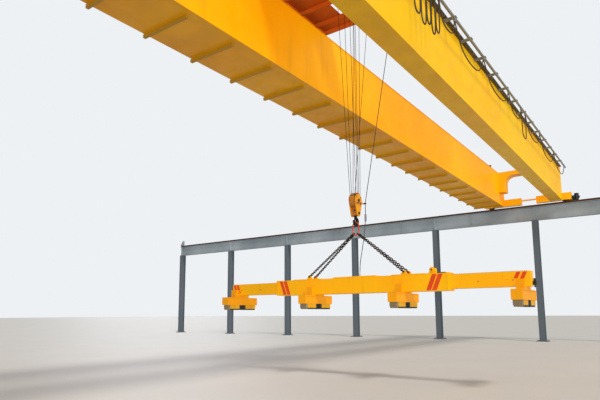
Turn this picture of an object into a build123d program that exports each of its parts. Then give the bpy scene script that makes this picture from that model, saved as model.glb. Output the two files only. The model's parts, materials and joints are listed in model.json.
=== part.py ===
from build123d import *
from math import acos, asin, atan, atan2, cos, hypot, radians, sin
import os

# A double-girder overhead travelling crane on its two runways, with a telescopic
# magnet spreader hanging on its hook. Millimetres.
# The origin is on the floor, in the middle of the runways' footprint.
# +X runs along the bridge, +Y along the runways and +Z is up.

# Where the bridge and the hook stand at rest
bridge_y = -11630
hook_x = -3310

# Gaps
running_gap = 0.3            # wheel on its rail, pin in its hole
sliding_gap = 6              # telescopic arm in its collar
pass_gap = 20                # what travels past something fixed

# Runways
bay_length = 6000
bay_count = 6
span = 34500                 # between the centres of the two runway rails
runway_top = 7700
runway_depth = 780
runway_width = 350
runway_flange = 20
runway_web = 14
runway_overhang = 250        # beam beyond the last column's centre
stiffener = 16
column_depth = 450           # along X
column_width = 300           # along Y
column_flange = 22
column_web = 14
base_side = 620
base_thick = 35
cap_thick = 25
anchor_spacing = 460
anchor_hole = 36
runway_rail_height = 140
runway_rail_base = 130
runway_rail_head = 70
stop_height = 420
stop_width = 200
stop_length = 300
stop_plate = 20

# Girders, end carriages and ties
girder_lift = 80             # bottom flange above the runway rail
girder_depth = 1890
girder_width = 610           # flange
girder_gap = 2540            # between the girders' flanges
girder_flange = 16
flange_lip = 20              # flange beyond the web
carriage_width = 280         # along X
carriage_height = 400
carriage_length = 4720       # along Y
carriage_lift = 75           # underside above the runway rail
carriage_gap = 25            # girder's end step to the carriage
left_box_end = 300           # inner end of the left wheel box, from the centre line
right_box_end = 530
link_bar_width = 160         # bar that joins the two wheel boxes
link_bar_height = 60
link_bar_drop = 115          # under the top of the boxes
axle_cap_radius = 105
axle_cap_thick = 14
bridge_wheel = 400           # tread diameter
bridge_wheel_inset = 330     # axle from the carriage's end
bridge_axle = 90             # diameter
wheel_flange = 25            # flange beyond the tread
wheel_rim = 18               # flange thickness
wheel_dish = 12
wheel_wall = 30              # solid ring inside the tread and round the axle
wheel_side_gap = 5           # flange to the side of the rail's head
pocket_gap = 20              # wheel to the top and ends of its pocket
tie_depth = 240
tie_width = 650
tie_gusset = 380             # from the left girder to the gusset's edge
tie_gusset_depth = 950       # below the tie
tie_gusset_bend = 450        # radius between the gusset and the tie
tie_corner = 300             # radius at the right girder
tie_setback = 650            # middle of the tie from the end carriage
buffer_length = 130
buffer_diameter = 160
buffer_plate = 15
buffer_rim = 15              # plate beyond the rubber
buffer_round = 35
drive_case_width = 170
drive_case_big = 130         # radius round the wheel's axle
drive_case_small = 105       # radius round the motor's shaft
drive_reach = 540            # motor's axis beyond the wheel's
drive_drop = 180             # case's small end under the wheel's axle
travel_motor_radius = 120
travel_motor_length = 360

# Trolley rails
trolley_rail_height = 90
trolley_rail_base = 90
trolley_rail_head = 50
trolley_stop_length = 120
trolley_stop_width = 160
trolley_stop_height = 380
trolley_stop_plate = 16

# Walkway beside the left girder, at the level of its bottom flange
walkway_width = 935
walkway_plate = 8
walkway_setback = 650        # its end from the middle of the runway rail
rib_pitch = 1430
rib_depth = 80
rib_width = 70
rib_tab = 40                 # rib beyond the plate
rib_root = 440               # rib's inner end from the girder's outer edge
handrail_height = 1100
handrail_post = 50
handrail_post_thick = 10
handrail_tube = 42
toe_board = 100
toe_board_thick = 6

# Festoon beside the right girder, at its top
festoon_offset = 340         # track centre from the girder's flange
festoon_track = 60
festoon_wall = 4
festoon_slot = 18
festoon_setback = 450        # its end from the middle of the runway rail
bracket_pitch = 1400
bracket_depth = 60
bracket_width = 50
bracket_wall = 6
tray_width = 120
tray_depth = 60
tray_wall = 3
carrier_width = 90
carrier_depth = 60           # along Y
carrier_height = 80
carrier_neck = 10
carrier_roller = 22          # radius
carrier_roller_at = 25       # from the carrier's middle
festoon_cable = 36
festoon_side = 24            # cable's end from the middle of its carrier
festoon_end_gap = 500        # last carrier from the track's end

# The spaces between the carriers from the far end, and how far each loop hangs
festoon_spaces = [3100, 3400, 2850, 700, 1950, 3100, 2700, 1200, 300, 300, 300, 350, 400]
festoon_sags = [620, 700, 640, 1050, 560, 640, 700, 520, 950, 1120, 1000, 1150, 1050]

# Trolley
near_approach = 2850         # hook to the near runway rail, at the end of its run
far_approach = 2560
trolley_front = 900          # frame ahead of the hook, towards +X
trolley_back = 2600          # frame behind the hook
trolley_wheel = 315
trolley_wheel_inset = 330
trolley_axle = 70            # diameter
side_beam_width = 260
side_beam_height = 360
side_beam_lift = 40          # underside above the trolley rail
deck_plate = 12
deck_rib_depth = 120
deck_rib_width = 40
deck_rib_pitch = 700
rope_slot_length = 720       # along X
rope_slot_width = 1120       # along Y
tow_behind = 400             # tow arm behind the hook
tow_width = 80
tow_depth = 60
tow_drop = 120               # under the top of the side beam

# Winch
drum_diameter = 500
drum_length = 1500
drum_height = 600            # axis above the deck
drum_step = 6                # grooved part above the plain part
drum_plain = 240             # plain part in the middle
drum_groove_end = 50         # from the groove to the flange
drum_fall = 536              # rope on the drum, from the centre line
drum_rope_ahead = 130        # rope on the drum, ahead of the hook
drum_rim = 45                # flange beyond the drum
drum_flange = 30
drum_shaft = 60              # radius
drum_shaft_length = 130
pedestal_gap = 40            # pedestal from the drum's end
pedestal_thick = 80
pedestal_top = 110           # radius
pedestal_foot = 190          # half its foot
gearbox_width = 300
gearbox_big = 260            # radius round the drum's shaft
gearbox_small = 190          # radius round the motor's shaft
gearbox_seam = 18            # flange where its halves meet
motor_behind = 900           # motor's axis behind the drum's
motor_drop = 120             # and under it
motor_radius = 170
motor_length = 760
motor_foot = 260
motor_fins = 14              # pairs
motor_core = 0.87            # of its radius
motor_bell = 0.12            # of its length
fin_thick = 8
upper_sheave_height = 100    # axis above the deck
upper_sheave_at = 150        # from the centre line
upper_stand = 232            # from the centre line
upper_stand_thick = 24
upper_stand_rest = 40        # stand beyond the rope slot
upper_pin = 35               # radius
equaliser_length = 60
equaliser_edge = 25          # beyond its ropes
equaliser_height = 70
reel_diameter = 560
reel_core = 232              # radius of the wound cable
reel_width = 120
reel_flange = 8
reel_holes = 6
reel_hole = 55               # radius
reel_hole_at = 150
reel_ahead = 220             # axis ahead of the frame
reel_aside = 630             # from the centre line
reel_drop = 150
reel_arm = 60

# Hook block
sheave_diameter = 300        # to the centre of the rope
sheave_rim = 20
sheave_pitch = 40
sheave_count = 4
sheave_width = 34
sheave_web = 14
sheave_hub = 62              # radius
sheave_ring = 28             # solid ring under the groove
sheave_pin = 42              # radius
rope_diameter = 14
rope_slack = 8               # sheave's mouth beside the rope
groove_slack = 3             # sheave's groove beside the rope
block_top = 4690
cheek_thick = 20
cheek_radius = 172
cheek_foot = 85              # radius
pin_end = 12                 # pin beyond the cheek
cover_radius = 205
cover_thick = 14
cover_bar = 10               # between the rope slots
cover_slot_in = 45           # slot from the rope, inwards
cover_slot_out = 30
cover_slot_low = 40          # above the sheaves' axis
housing_half = 75            # lower part of the cover, along X
housing_wall = 9
housing_drop = 60            # below the crosshead's axis
housing_window = 80
housing_window_height = 30
housing_window_at = 70       # above the crosshead's axis
crosshead_drop = 335         # under the sheave axis
crosshead_height = 110
crosshead_width = 120
trunnion = 36                # radius

# Hook, link and chains
hook_drop = 540              # bowl centre under the sheave axis
hook_outer = 118
hook_inner = 52
hook_back = 10               # outer arc's centre from the bowl's, away from the tip
hook_belly = 8               # and below it
hook_thick = 64
hook_round = 14
shank_radius = 34
nut_radius = 62
nut_height = 50
link_bar = 32
link_width = 172             # between the bar's centres
link_bottom = 3586           # bar's centre
ring_bar = 26
ring_width = 96              # between the bar's centres
ring_spread = 35             # degrees, where each chain of a pair leaves the ring
chain_bar = 20
chain_pitch = 60
chain_inside = 27            # inner width of a link
chain_side = 138             # foot of each chain of a pair, from the middle
shackle_bar = 24
shackle_inside = 38
shackle_reach = 78           # pin to the middle of the bow's bar
shackle_pin = 28
shackle_head = 22            # radius of the pin's ends

# Spreader
spreader_half = 2435
spreader_top = 2500
spreader_depth = 400
spreader_width = 330
spreader_wall = 14
collar_length = 60
collar_lip = 10
arm_depth = 320
arm_width = 240
arm_wall = 12
arm_reach = 4125             # arm's outer end from the middle, at rest
arm_length = 2690
rack_width = 24
rack_height = 8
rack_tooth = 8
rack_pitch = 40
rack_gap = 6
rack_end = 80                # from the arm's end
arm_drive_at = 2010          # from the middle of the beam
arm_drive_length = 220
arm_drive_width = 140
arm_drive_height = 110
sprocket_radius = 62
sprocket_teeth = 12
sprocket_tooth = 12
sprocket_width = 22
lug_at = 1350
lug_length = 190
lug_head = 42                # radius
lug_thick = 25
lug_height = 72              # hole above the beam
saddle_length = 1200
saddle_thick = 25
saddle_lip = 6               # beyond the beam's sides
lug_plate_start = 1030       # from the middle of the beam
lug_plate_end = 1880
lug_plate_thick = 14
crossbar_length = 1270
crossbar_width = 226
crossbar_height = 215
crossbar_flange = 18
crossbar_lip = 14            # flange and end plate beyond the web
crossbar_at = 1260
crossbar_inset = 175         # middle of the outer crossbar from the arm's end
seat_height = 25             # packing under the beam
bracket_out = 290            # outer face from the middle
bracket_width = 170
bracket_top = 2290
bracket_plate = 16
magnet_length = 500
magnet_width = 200
magnet_height = 140
magnet_pole = 34             # height of the pole shoes
magnet_slot = 46             # between the pole shoes
magnet_round = 12
magnet_at = 330
lead_diameter = 18
lead_out = 240               # clamp beside the block, ahead of the hook
lead_aside = 60              # clamp beyond the cheek
lead_height = 300            # clamp above the crosshead
clamp_half = 22
clamp_thick = 30
lead_gap = 3                 # cable above its clamp
lead_straight = 420          # lead straight under its clamp
lead_back = 140              # lead's foot behind the clamp
lead_swing = 120             # and towards the middle
lead_high_bend = 800         # above the spreader
lead_low_bend = 300
lead_radii = [220, 400, 300]

# Worked out from the values above
half_span = span / 2
rail_top = runway_top + runway_rail_height
runway_half = bay_length * bay_count / 2 + runway_overhang
girder_bottom = rail_top + girder_lift
girder_top = girder_bottom + girder_depth
girder_offset = girder_gap / 2 + girder_width / 2
girder_outer = girder_gap / 2 + girder_width
girder_half = half_span + carriage_width / 2
carriage_bottom = rail_top + carriage_lift
carriage_top = carriage_bottom + carriage_height
bridge_axle_z = rail_top + bridge_wheel / 2 + running_gap
walkway_end = half_span - walkway_setback
rib_count = 2 * int(walkway_end / rib_pitch + 0.5)
festoon_y = bridge_y - girder_outer - festoon_offset
festoon_end = half_span - festoon_setback
bracket_count = 2 * int((festoon_end - bracket_width / 2) / bracket_pitch) + 1
bracket_low = girder_top - tray_depth - bracket_depth
track_low = bracket_low - festoon_track
trolley_near = near_approach - half_span
trolley_far = half_span - far_approach
trolley_rail_top = girder_top + trolley_rail_height
trolley_axle_z = trolley_rail_top + trolley_wheel / 2 + running_gap
side_beam_bottom = trolley_rail_top + side_beam_lift
side_beam_top = side_beam_bottom + side_beam_height
deck_z = side_beam_bottom + deck_rib_depth
deck_top = deck_z + deck_plate
drum_axis_z = deck_top + drum_height
drum_rope_radius = drum_diameter / 2 + rope_diameter / 2 + running_gap
drum_x = hook_x + drum_rope_ahead - drum_rope_radius
upper_sheave_z = deck_top + upper_sheave_height
reel_x = hook_x + trolley_front + reel_ahead
reel_y = bridge_y - reel_aside
reel_z = side_beam_top + reel_diameter / 2 - reel_drop
sheave_z = block_top - cover_radius
cheek_y = sheave_count * sheave_pitch / 2      # inner face
crosshead_z = sheave_z - crosshead_drop
hook_z = sheave_z - hook_drop
spreader_bottom = spreader_top - spreader_depth
arm_top = spreader_top - (spreader_depth - arm_depth) / 2
arm_bottom = arm_top - arm_depth
crossbar_top = spreader_bottom - seat_height
crossbar_bottom = crossbar_top - crossbar_height
magnet_bottom = crossbar_bottom - magnet_height
arm_crossbar_at = arm_reach - crossbar_inset
lug_z = spreader_top + lug_height


def slab(x0, x1, y0, y1, z0, z1):
    # a block between two corners
    size = Box(abs(x1 - x0), abs(y1 - y0), abs(z1 - z0))
    return Pos((x0 + x1) / 2, (y0 + y1) / 2, (z0 + z1) / 2) * size


def rod(start, end, radius):
    # a round bar between two points
    a, b = Vector(*start), Vector(*end)
    place = Plane(origin=a, z_dir=(b - a).normalized())
    return extrude(place * Circle(radius), (b - a).length)


def along_y(points, y0, y1):
    # an outline in X and Z, given its thickness from y0 to y1
    face = make_face(Polyline(*[(x, 0, z) for x, z in points], close=True))
    return Pos(0, min(y0, y1), 0) * extrude(face, abs(y1 - y0), dir=(0, 1, 0))


def along_x(points, x0, x1):
    # an outline in Y and Z, given its thickness from x0 to x1
    face = make_face(Polyline(*[(0, y, z) for y, z in points], close=True))
    return Pos(min(x0, x1), 0, 0) * extrude(face, abs(x1 - x0), dir=(1, 0, 0))


def plate_y(sketch, y0, y1):
    # a sketch laid in X and Z, given its thickness between y0 and y1
    return Pos(0, max(y0, y1), 0) * extrude(Plane.XZ * sketch, abs(y1 - y0))


def plate_x(sketch, x0, x1):
    # a sketch laid in Y and Z, given its thickness between x0 and x1
    return Pos(min(x0, x1), 0, 0) * extrude(Plane.YZ * sketch, abs(x1 - x0))


def wrapped(a, a_radius, b, b_radius):
    # the outline that a band round two discs would have
    length = hypot(b[0] - a[0], b[1] - a[1])
    dx, dz = (b[0] - a[0]) / length, (b[1] - a[1]) / length
    lean = (a_radius - b_radius) / length
    out = (1 - lean * lean) ** 0.5
    edges = []
    for side in (-1, 1):
        nx, nz = dx * lean - dz * out * side, dz * lean + dx * out * side
        edges.append([(p[0] + r * nx, p[1] + r * nz) for p, r in ((a, a_radius), (b, b_radius))])
    middle = make_face(Polyline(*edges[0], *reversed(edges[1]), close=True))
    return Pos(*a) * Circle(a_radius) + Pos(*b) * Circle(b_radius) + middle


def mirrored(outline):
    # the other half of an outline that is alike on both sides of the axis
    return outline + [(-a, b) for a, b in reversed(outline)]


def rail_outline(height, base, head):
    # half of a crane rail: foot, web and head
    web = head * 0.2
    return mirrored([(base / 2, 0), (base / 2, height * 0.12), (web, height * 0.28),
                     (web, height * 0.64), (head / 2, height * 0.76), (head / 2, height)])


def motor(start, end, radius, top):
    # a finned case between end bells, with a fan cowl at its end and a terminal box on its top side
    a, b = Vector(*start), Vector(*end)
    length = (b - a).length
    bell = motor_bell * length
    finned = Circle(radius * motor_core)
    for i in range(motor_fins):
        finned += Rot(0, 0, 180 / motor_fins * i) * Rectangle(2 * radius, fin_thick)
    case = extrude(Circle(radius * 0.95), bell)
    case += Pos(0, 0, bell) * extrude(finned, length - 3 * bell)
    case += Pos(0, 0, length - 2 * bell) * extrude(Circle(radius), 2 * bell)
    case += Pos(radius, 0, length * 0.42) * Box(radius * 0.7, radius, length * 0.3)
    return Plane(origin=a, x_dir=top, z_dir=(b - a).normalized()) * case


def save(name, *shapes):
    solids = [s for shape in shapes for s in shape.solids()]
    export_step(solids[0] if len(solids) == 1 else Compound(solids), f"parts/{name}.step")


def column_places():
    first = -bay_length * bay_count / 2
    return [first + bay_length * i for i in range(bay_count + 1)]


def runway_beam(x):
    web_top = runway_top - runway_flange
    web_bottom = runway_top - runway_depth + runway_flange
    beam = slab(x - runway_web / 2, x + runway_web / 2, -runway_half, runway_half, web_bottom, web_top)
    for z in (runway_top - runway_depth, web_top):
        beam += slab(x - runway_width / 2, x + runway_width / 2, -runway_half, runway_half,
                     z, z + runway_flange)
    for y in column_places():
        beam += slab(x - runway_width / 2 + stiffener, x + runway_width / 2 - stiffener,
                     y - stiffener / 2, y + stiffener / 2, web_bottom, web_top)
    return beam


def column(x, y):
    # an H section between a cap and a base plate with four anchor holes
    foot = base_thick
    head = runway_top - runway_depth - cap_thick
    post = slab(x - column_depth / 2, x + column_depth / 2, y - column_web / 2, y + column_web / 2,
                foot, head)
    for side in (-1, 1):
        face = x + side * (column_depth - column_flange) / 2
        post += slab(face - column_flange / 2, face + column_flange / 2,
                     y - column_width / 2, y + column_width / 2, foot, head)
    plate = slab(x - base_side / 2, x + base_side / 2, y - base_side / 2, y + base_side / 2, 0, base_thick)
    for dx in (-1, 1):
        for dy in (-1, 1):
            plate -= Pos(x + dx * anchor_spacing / 2, y + dy * anchor_spacing / 2, base_thick / 2) * \
                Cylinder(anchor_hole / 2, base_thick)
    cap = slab(x - column_depth / 2, x + column_depth / 2, y - column_width / 2, y + column_width / 2,
               head, head + cap_thick)
    return post + plate + cap


def runway_rail(x):
    bar = along_y(rail_outline(runway_rail_height, runway_rail_base, runway_rail_head),
                  -runway_half, runway_half)
    return Pos(x, 0, runway_top) * bar


def runway_stop(x, end):
    # a plate that the buffer meets, with a foot and two gussets, on the rail's end
    outer = end * runway_half
    inner = outer - end * stop_length
    foot_top = rail_top + stop_plate
    stop = slab(x - stop_width / 2, x + stop_width / 2, inner, inner + end * stop_plate,
                rail_top, rail_top + stop_height)
    stop += slab(x - stop_width / 2, x + stop_width / 2, inner, outer, rail_top, foot_top)
    for side in (-1, 1):
        edge = x + side * stop_width / 2
        stop += along_x([(inner, rail_top), (outer, rail_top), (outer, foot_top), (inner, rail_top + stop_height)],
                        edge, edge - side * stop_plate)
    return stop


def wheel(tread, width, axle_length, axle_radius):
    # a double-flanged wheel with dished sides on its axle, around the X axis
    side = width / 2 + wheel_rim
    hub = axle_radius + wheel_wall
    ring = tread / 2 - wheel_wall
    half = [(side, 0), (side, hub), (side - wheel_dish, hub + wheel_dish), (side - wheel_dish, ring - wheel_dish),
            (side, ring), (side, tread / 2 + wheel_flange), (width / 2, tread / 2 + wheel_flange),
            (width / 2, tread / 2)]
    disc = revolve(make_face(Polyline(*mirrored(half), close=True)), Axis.X)
    axle = Rot(0, 90, 0) * Cylinder(axle_radius, axle_length)
    return disc + axle


def girder(side):
    y = bridge_y + side * girder_offset
    step = half_span - carriage_width / 2 - carriage_gap
    web = along_y([(-girder_half, carriage_top), (-step, carriage_top), (-step, girder_bottom),
                   (step, girder_bottom), (step, carriage_top), (girder_half, carriage_top),
                   (girder_half, girder_top), (-girder_half, girder_top)],
                  y - girder_width / 2 + flange_lip, y + girder_width / 2 - flange_lip)
    bottom = slab(-step, step, y - girder_width / 2, y + girder_width / 2,
                  girder_bottom, girder_bottom + girder_flange)
    top = slab(-girder_half, girder_half, y - girder_width / 2, y + girder_width / 2,
               girder_top - girder_flange, girder_top)
    return web + bottom + top


def bridge_wheel_places():
    reach = carriage_length / 2 - bridge_wheel_inset
    return [(sx * half_span, bridge_y + sy * reach) for sx in (-1, 1) for sy in (-1, 1)]


def bridge_pocket_width():
    return runway_rail_head + 2 * wheel_side_gap + 2 * wheel_rim + 2 * pocket_gap


def end_carriage(side):
    # two wheel boxes joined by a bar, with a cap over the end of each axle
    x = side * half_span
    end = carriage_length / 2
    left = slab(x - carriage_width / 2, x + carriage_width / 2, bridge_y + left_box_end, bridge_y + end,
                carriage_bottom, carriage_top)
    right = slab(x - carriage_width / 2, x + carriage_width / 2, bridge_y - end, bridge_y - right_box_end,
                 carriage_bottom, carriage_top)
    bar_top = carriage_top - link_bar_drop
    carriage = left + right + slab(x - link_bar_width / 2, x + link_bar_width / 2, bridge_y - right_box_end,
                                   bridge_y + left_box_end, bar_top - link_bar_height, bar_top)
    reach = bridge_wheel / 2 + wheel_flange + pocket_gap
    width = bridge_pocket_width()
    for wx, wy in bridge_wheel_places():
        if wx * side > 0:
            for face in (-1, 1):
                inner = wx + face * carriage_width / 2
                carriage += rod((inner, wy, bridge_axle_z), (inner + face * axle_cap_thick, wy, bridge_axle_z),
                                axle_cap_radius)
            carriage -= slab(wx - width / 2, wx + width / 2, wy - reach, wy + reach,
                             carriage_bottom, bridge_axle_z + reach)
    return carriage


def bridge_wheels():
    tread = runway_rail_head + 2 * wheel_side_gap
    return [Pos(x, y, bridge_axle_z) * wheel(bridge_wheel, tread, bridge_pocket_width(), bridge_axle / 2)
            for x, y in bridge_wheel_places()]


def end_tie(side):
    # a box between the girders' webs at their top, with a tall gusset at the left one and rounded at the right one
    inner = girder_gap / 2 + flange_lip
    top = girder_top - girder_flange
    under = top - tie_depth
    deep = under - tie_gusset_depth
    bend = tie_corner * (1 - cos(radians(45)))
    edge = inner - tie_gusset
    hollow = tie_gusset_bend * (1 - cos(radians(45)))
    flat = Line((0, tie_corner - inner, under), (0, edge - tie_gusset_bend, under))
    curve = ThreePointArc((0, edge - tie_gusset_bend, under), (0, edge - hollow, under - hollow),
                          (0, edge, under - tie_gusset_bend))
    straight = Polyline((0, edge, under - tie_gusset_bend), (0, edge, deep), (0, inner, deep), (0, inner, top),
                        (0, -inner, top), (0, -inner, under - tie_corner))
    corner = ThreePointArc((0, -inner, under - tie_corner), (0, bend - inner, under - bend),
                           (0, tie_corner - inner, under))
    x = half_span - carriage_width / 2 - tie_setback
    box = extrude(make_face([flat, curve, straight, corner]), tie_width, dir=(1, 0, 0))
    return Pos(side * x - tie_width / 2, bridge_y, 0) * box


def bridge_buffer(x, end):
    # a rubber cylinder with a round nose, on a plate
    y = bridge_y + end * carriage_length / 2
    z = rail_top + stop_height / 2
    rubber = rod((x, y, z), (x, y + end * buffer_length, z), buffer_diameter / 2)
    rubber = fillet(rubber.edges().sort_by(Axis.Y)[-1 if end > 0 else 0], buffer_round)
    return rubber + rod((x, y, z), (x, y + end * buffer_plate, z), buffer_diameter / 2 + buffer_rim)


def travel_drive(side):
    # a flat gear case on the carriage's outer side, from the wheel's axle to an upright motor past its end
    face = side * (half_span + carriage_width / 2 + axle_cap_thick)
    wheel_y = bridge_y - carriage_length / 2 + bridge_wheel_inset
    motor_y = wheel_y - drive_reach
    low = bridge_axle_z - drive_drop
    case = plate_x(wrapped((wheel_y, bridge_axle_z), drive_case_big, (motor_y, low), drive_case_small),
                   face, face + side * drive_case_width)
    x = face + side * drive_case_width / 2
    head = low + drive_case_small * 0.5
    return case + motor((x, motor_y, head), (x, motor_y, head + travel_motor_length), travel_motor_radius,
                        (0, -1, 0))


def trolley_rail(side):
    # a rail on the girder between the two stops
    outline = rail_outline(trolley_rail_height, trolley_rail_base, trolley_rail_head)
    y = bridge_y + side * girder_offset
    return along_x([(y + a, girder_top + b) for a, b in outline],
                   trolley_near - trolley_back - pass_gap + running_gap,
                   trolley_far + trolley_front + pass_gap - running_gap)


def trolley_stop(side, end):
    # a plate across the rail's end with a rib behind it
    x = trolley_far + trolley_front + pass_gap if end > 0 else trolley_near - trolley_back - pass_gap
    y = bridge_y + side * girder_offset
    top = girder_top + trolley_stop_height
    plate = slab(x, x + end * trolley_stop_plate, y - trolley_stop_width / 2, y + trolley_stop_width / 2,
                 girder_top, top)
    rib = along_y([(x, girder_top), (x + end * trolley_stop_length, girder_top), (x, top)],
                  y - trolley_stop_plate / 2, y + trolley_stop_plate / 2)
    return plate + rib


def rib_places():
    return [(i - (rib_count - 1) / 2) * rib_pitch for i in range(rib_count)]


def walkway():
    inner = bridge_y + girder_outer
    outer = inner + walkway_width
    plate = slab(-walkway_end, walkway_end, inner, outer, girder_bottom, girder_bottom + walkway_plate)
    for x in rib_places():
        plate += slab(x - rib_width / 2, x + rib_width / 2, inner - rib_root, outer + rib_tab,
                      girder_bottom - rib_depth, girder_bottom)
    return plate


def handrail():
    y = bridge_y + girder_outer + walkway_width - handrail_post / 2
    floor = girder_bottom + walkway_plate
    fence = slab(-walkway_end, walkway_end, y - toe_board_thick / 2, y + toe_board_thick / 2,
                 floor, floor + toe_board)
    for x in rib_places():
        fence += slab(x - handrail_post / 2, x + handrail_post / 2, y - handrail_post_thick / 2,
                      y + handrail_post_thick / 2, floor, floor + handrail_height)
    for z in (floor + handrail_height, floor + handrail_height / 2):
        fence += rod((-walkway_end, y, z), (walkway_end, y, z), handrail_tube / 2)
    return fence


def bracket_places():
    return [(i - (bracket_count - 1) / 2) * bracket_pitch for i in range(bracket_count)]


def festoon_track_and_brackets():
    # a C rail, open below, under angle brackets from the girder's web
    flange = bridge_y - girder_outer
    top = girder_top - tray_depth
    half, wall = festoon_track / 2, festoon_wall
    outline = [(festoon_slot / 2, 0), (half, 0), (half, festoon_track), (-half, festoon_track), (-half, 0),
               (-festoon_slot / 2, 0), (-festoon_slot / 2, wall), (wall - half, wall),
               (wall - half, festoon_track - wall), (half - wall, festoon_track - wall), (half - wall, wall),
               (festoon_slot / 2, wall)]
    track = along_x([(festoon_y + a, track_low + b) for a, b in outline], -festoon_end, festoon_end)
    for x in bracket_places():
        track += slab(x - bracket_width / 2, x + bracket_width / 2, flange + flange_lip,
                      festoon_y - half, top - bracket_wall, top)
        track += slab(x - bracket_wall / 2, x + bracket_wall / 2, flange + flange_lip,
                      festoon_y - half, bracket_low, top)
    return track


def cable_tray():
    outer = bridge_y - girder_outer - running_gap
    low = girder_top - tray_depth
    tray = slab(-festoon_end, festoon_end, outer - tray_width, outer, low, girder_top)
    return tray - slab(-festoon_end, festoon_end, outer - tray_width + tray_wall, outer - tray_wall,
                       low + tray_wall, girder_top)


def carrier_places():
    places = [festoon_end - festoon_end_gap]
    for space in festoon_spaces:
        places.append(places[-1] - space)
    return places


def festoon_carrier(x):
    # a rounded saddle under the track, on a neck and four rollers inside it
    foot = track_low - carrier_height
    carrier = slab(x - carrier_width / 2, x + carrier_width / 2, festoon_y - carrier_depth / 2,
                   festoon_y + carrier_depth / 2, foot, track_low - running_gap)
    axle_z = track_low + festoon_wall + carrier_roller + running_gap
    carrier += slab(x - carrier_width / 2, x + carrier_width / 2, festoon_y - carrier_neck / 2,
                    festoon_y + carrier_neck / 2, foot, axle_z)
    reach = festoon_track / 2 - 2 * festoon_wall
    for side in (-1, 1):
        wheel_x = x + side * carrier_roller_at
        carrier += rod((wheel_x, festoon_y - reach, axle_z), (wheel_x, festoon_y + reach, axle_z), carrier_roller)
    return carrier


def festoon_loops():
    # each loop leaves its carriers straight down, or slanting where it is stretched wide
    foot = track_low - carrier_height
    places = carrier_places()
    loops = []
    for right, left, sag in zip(places, places[1:], festoon_sags):
        a, b = left + festoon_side, right - festoon_side
        middle, width = (a + b) / 2, (b - a) / 2
        if sag < width:
            slope = 2 * atan(sag / width)
            z = foot - running_gap - festoon_cable / 2 * cos(slope)
            path = ThreePointArc((a, festoon_y, z), (middle, festoon_y, z - sag), (b, festoon_y, z))
            start = Plane(origin=path @ 0, z_dir=path % 0)
            loops.append(sweep(start * Circle(festoon_cable / 2), path=path))
        else:
            z = foot - running_gap
            turn = z - sag + width
            down = Line((a, festoon_y, z), (a, festoon_y, turn))
            bend = ThreePointArc((a, festoon_y, turn), (middle, festoon_y, z - sag), (b, festoon_y, turn))
            up = Line((b, festoon_y, turn), (b, festoon_y, z))
            start = Plane(origin=(a, festoon_y, z), z_dir=(0, 0, -1))
            loops.append(sweep(start * Circle(festoon_cable / 2), path=Wire([down, bend, up])))
    return loops


def trolley_wheel_places():
    ends = (hook_x - trolley_back + trolley_wheel_inset, hook_x + trolley_front - trolley_wheel_inset)
    return [(x, bridge_y + side * girder_offset) for x in ends for side in (-1, 1)]


def trolley_pocket_width():
    return trolley_rail_head + 2 * wheel_side_gap + 2 * wheel_rim + 2 * pocket_gap


def deck_rib_places():
    half = deck_rib_width / 2
    back = hook_x - trolley_back + half
    slot = rope_slot_length / 2 + half
    behind = int((trolley_back - slot - half) / deck_rib_pitch)
    places = [hook_x + trolley_front - half, hook_x + slot, hook_x - slot]
    return places + [back + i * deck_rib_pitch for i in range(behind)]


def trolley_frame():
    front = hook_x + trolley_front
    back = hook_x - trolley_back
    inner = girder_offset - side_beam_width / 2
    frame = slab(back, front, bridge_y - inner, bridge_y + inner, deck_z, deck_top)
    for side in (-1, 1):
        y = bridge_y + side * girder_offset
        frame += slab(back, front, y - side_beam_width / 2, y + side_beam_width / 2,
                      side_beam_bottom, side_beam_top)
    for x in deck_rib_places():
        frame += slab(x - deck_rib_width / 2, x + deck_rib_width / 2, bridge_y - inner, bridge_y + inner,
                      side_beam_bottom, deck_z)
    frame -= slab(hook_x - rope_slot_length / 2, hook_x + rope_slot_length / 2,
                  bridge_y - rope_slot_width / 2, bridge_y + rope_slot_width / 2, deck_z, deck_top)
    reach = trolley_wheel / 2 + wheel_flange + pocket_gap
    width = trolley_pocket_width()
    for x, y in trolley_wheel_places():
        frame -= slab(x - reach, x + reach, y - width / 2, y + width / 2,
                      side_beam_bottom, trolley_axle_z + reach)
    return frame + tow_arm()


def tow_arm():
    # reaches from the trolley's side beam to above the festoon track
    x = hook_x - tow_behind
    z = side_beam_top - tow_drop
    inner = bridge_y - girder_offset - side_beam_width / 2
    half = festoon_track / 2
    arm = slab(x - tow_width / 2, x + tow_width / 2, festoon_y - half, inner, z, z + tow_depth)
    arm += slab(x - tow_width / 2, x + tow_width / 2, festoon_y - half, festoon_y + half,
                girder_top + pass_gap, z)
    return arm


def trolley_wheels():
    tread = trolley_rail_head + 2 * wheel_side_gap
    one = Rot(0, 0, 90) * wheel(trolley_wheel, tread, trolley_pocket_width(), trolley_axle / 2)
    return [Pos(x, y, trolley_axle_z) * one for x, y in trolley_wheel_places()]


def hoist_drum():
    # two grooved lengths beside a plain middle, between flanges, on two pedestals
    def piece(y0, y1, radius):
        return rod((drum_x, bridge_y + y0, drum_axis_z), (drum_x, bridge_y + y1, drum_axis_z), radius)
    half = drum_length / 2
    body = piece(-half, half, drum_diameter / 2 - drum_step)
    for end in (-1, 1):
        body += piece(end * drum_plain / 2, end * (half - drum_groove_end), drum_diameter / 2)
        body += piece(end * half, end * (half + drum_flange), drum_diameter / 2 + drum_rim)
        body += piece(end * half, end * (half + drum_shaft_length), drum_shaft)
        near = bridge_y + end * (half + pedestal_gap)
        body += along_y([(drum_x - pedestal_foot, deck_top), (drum_x + pedestal_foot, deck_top),
                         (drum_x + pedestal_top, drum_axis_z), (drum_x - pedestal_top, drum_axis_z)],
                        near, near + end * pedestal_thick)
        body += piece(end * (half + pedestal_gap), end * (half + pedestal_gap + pedestal_thick), pedestal_top)
    return body


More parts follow.
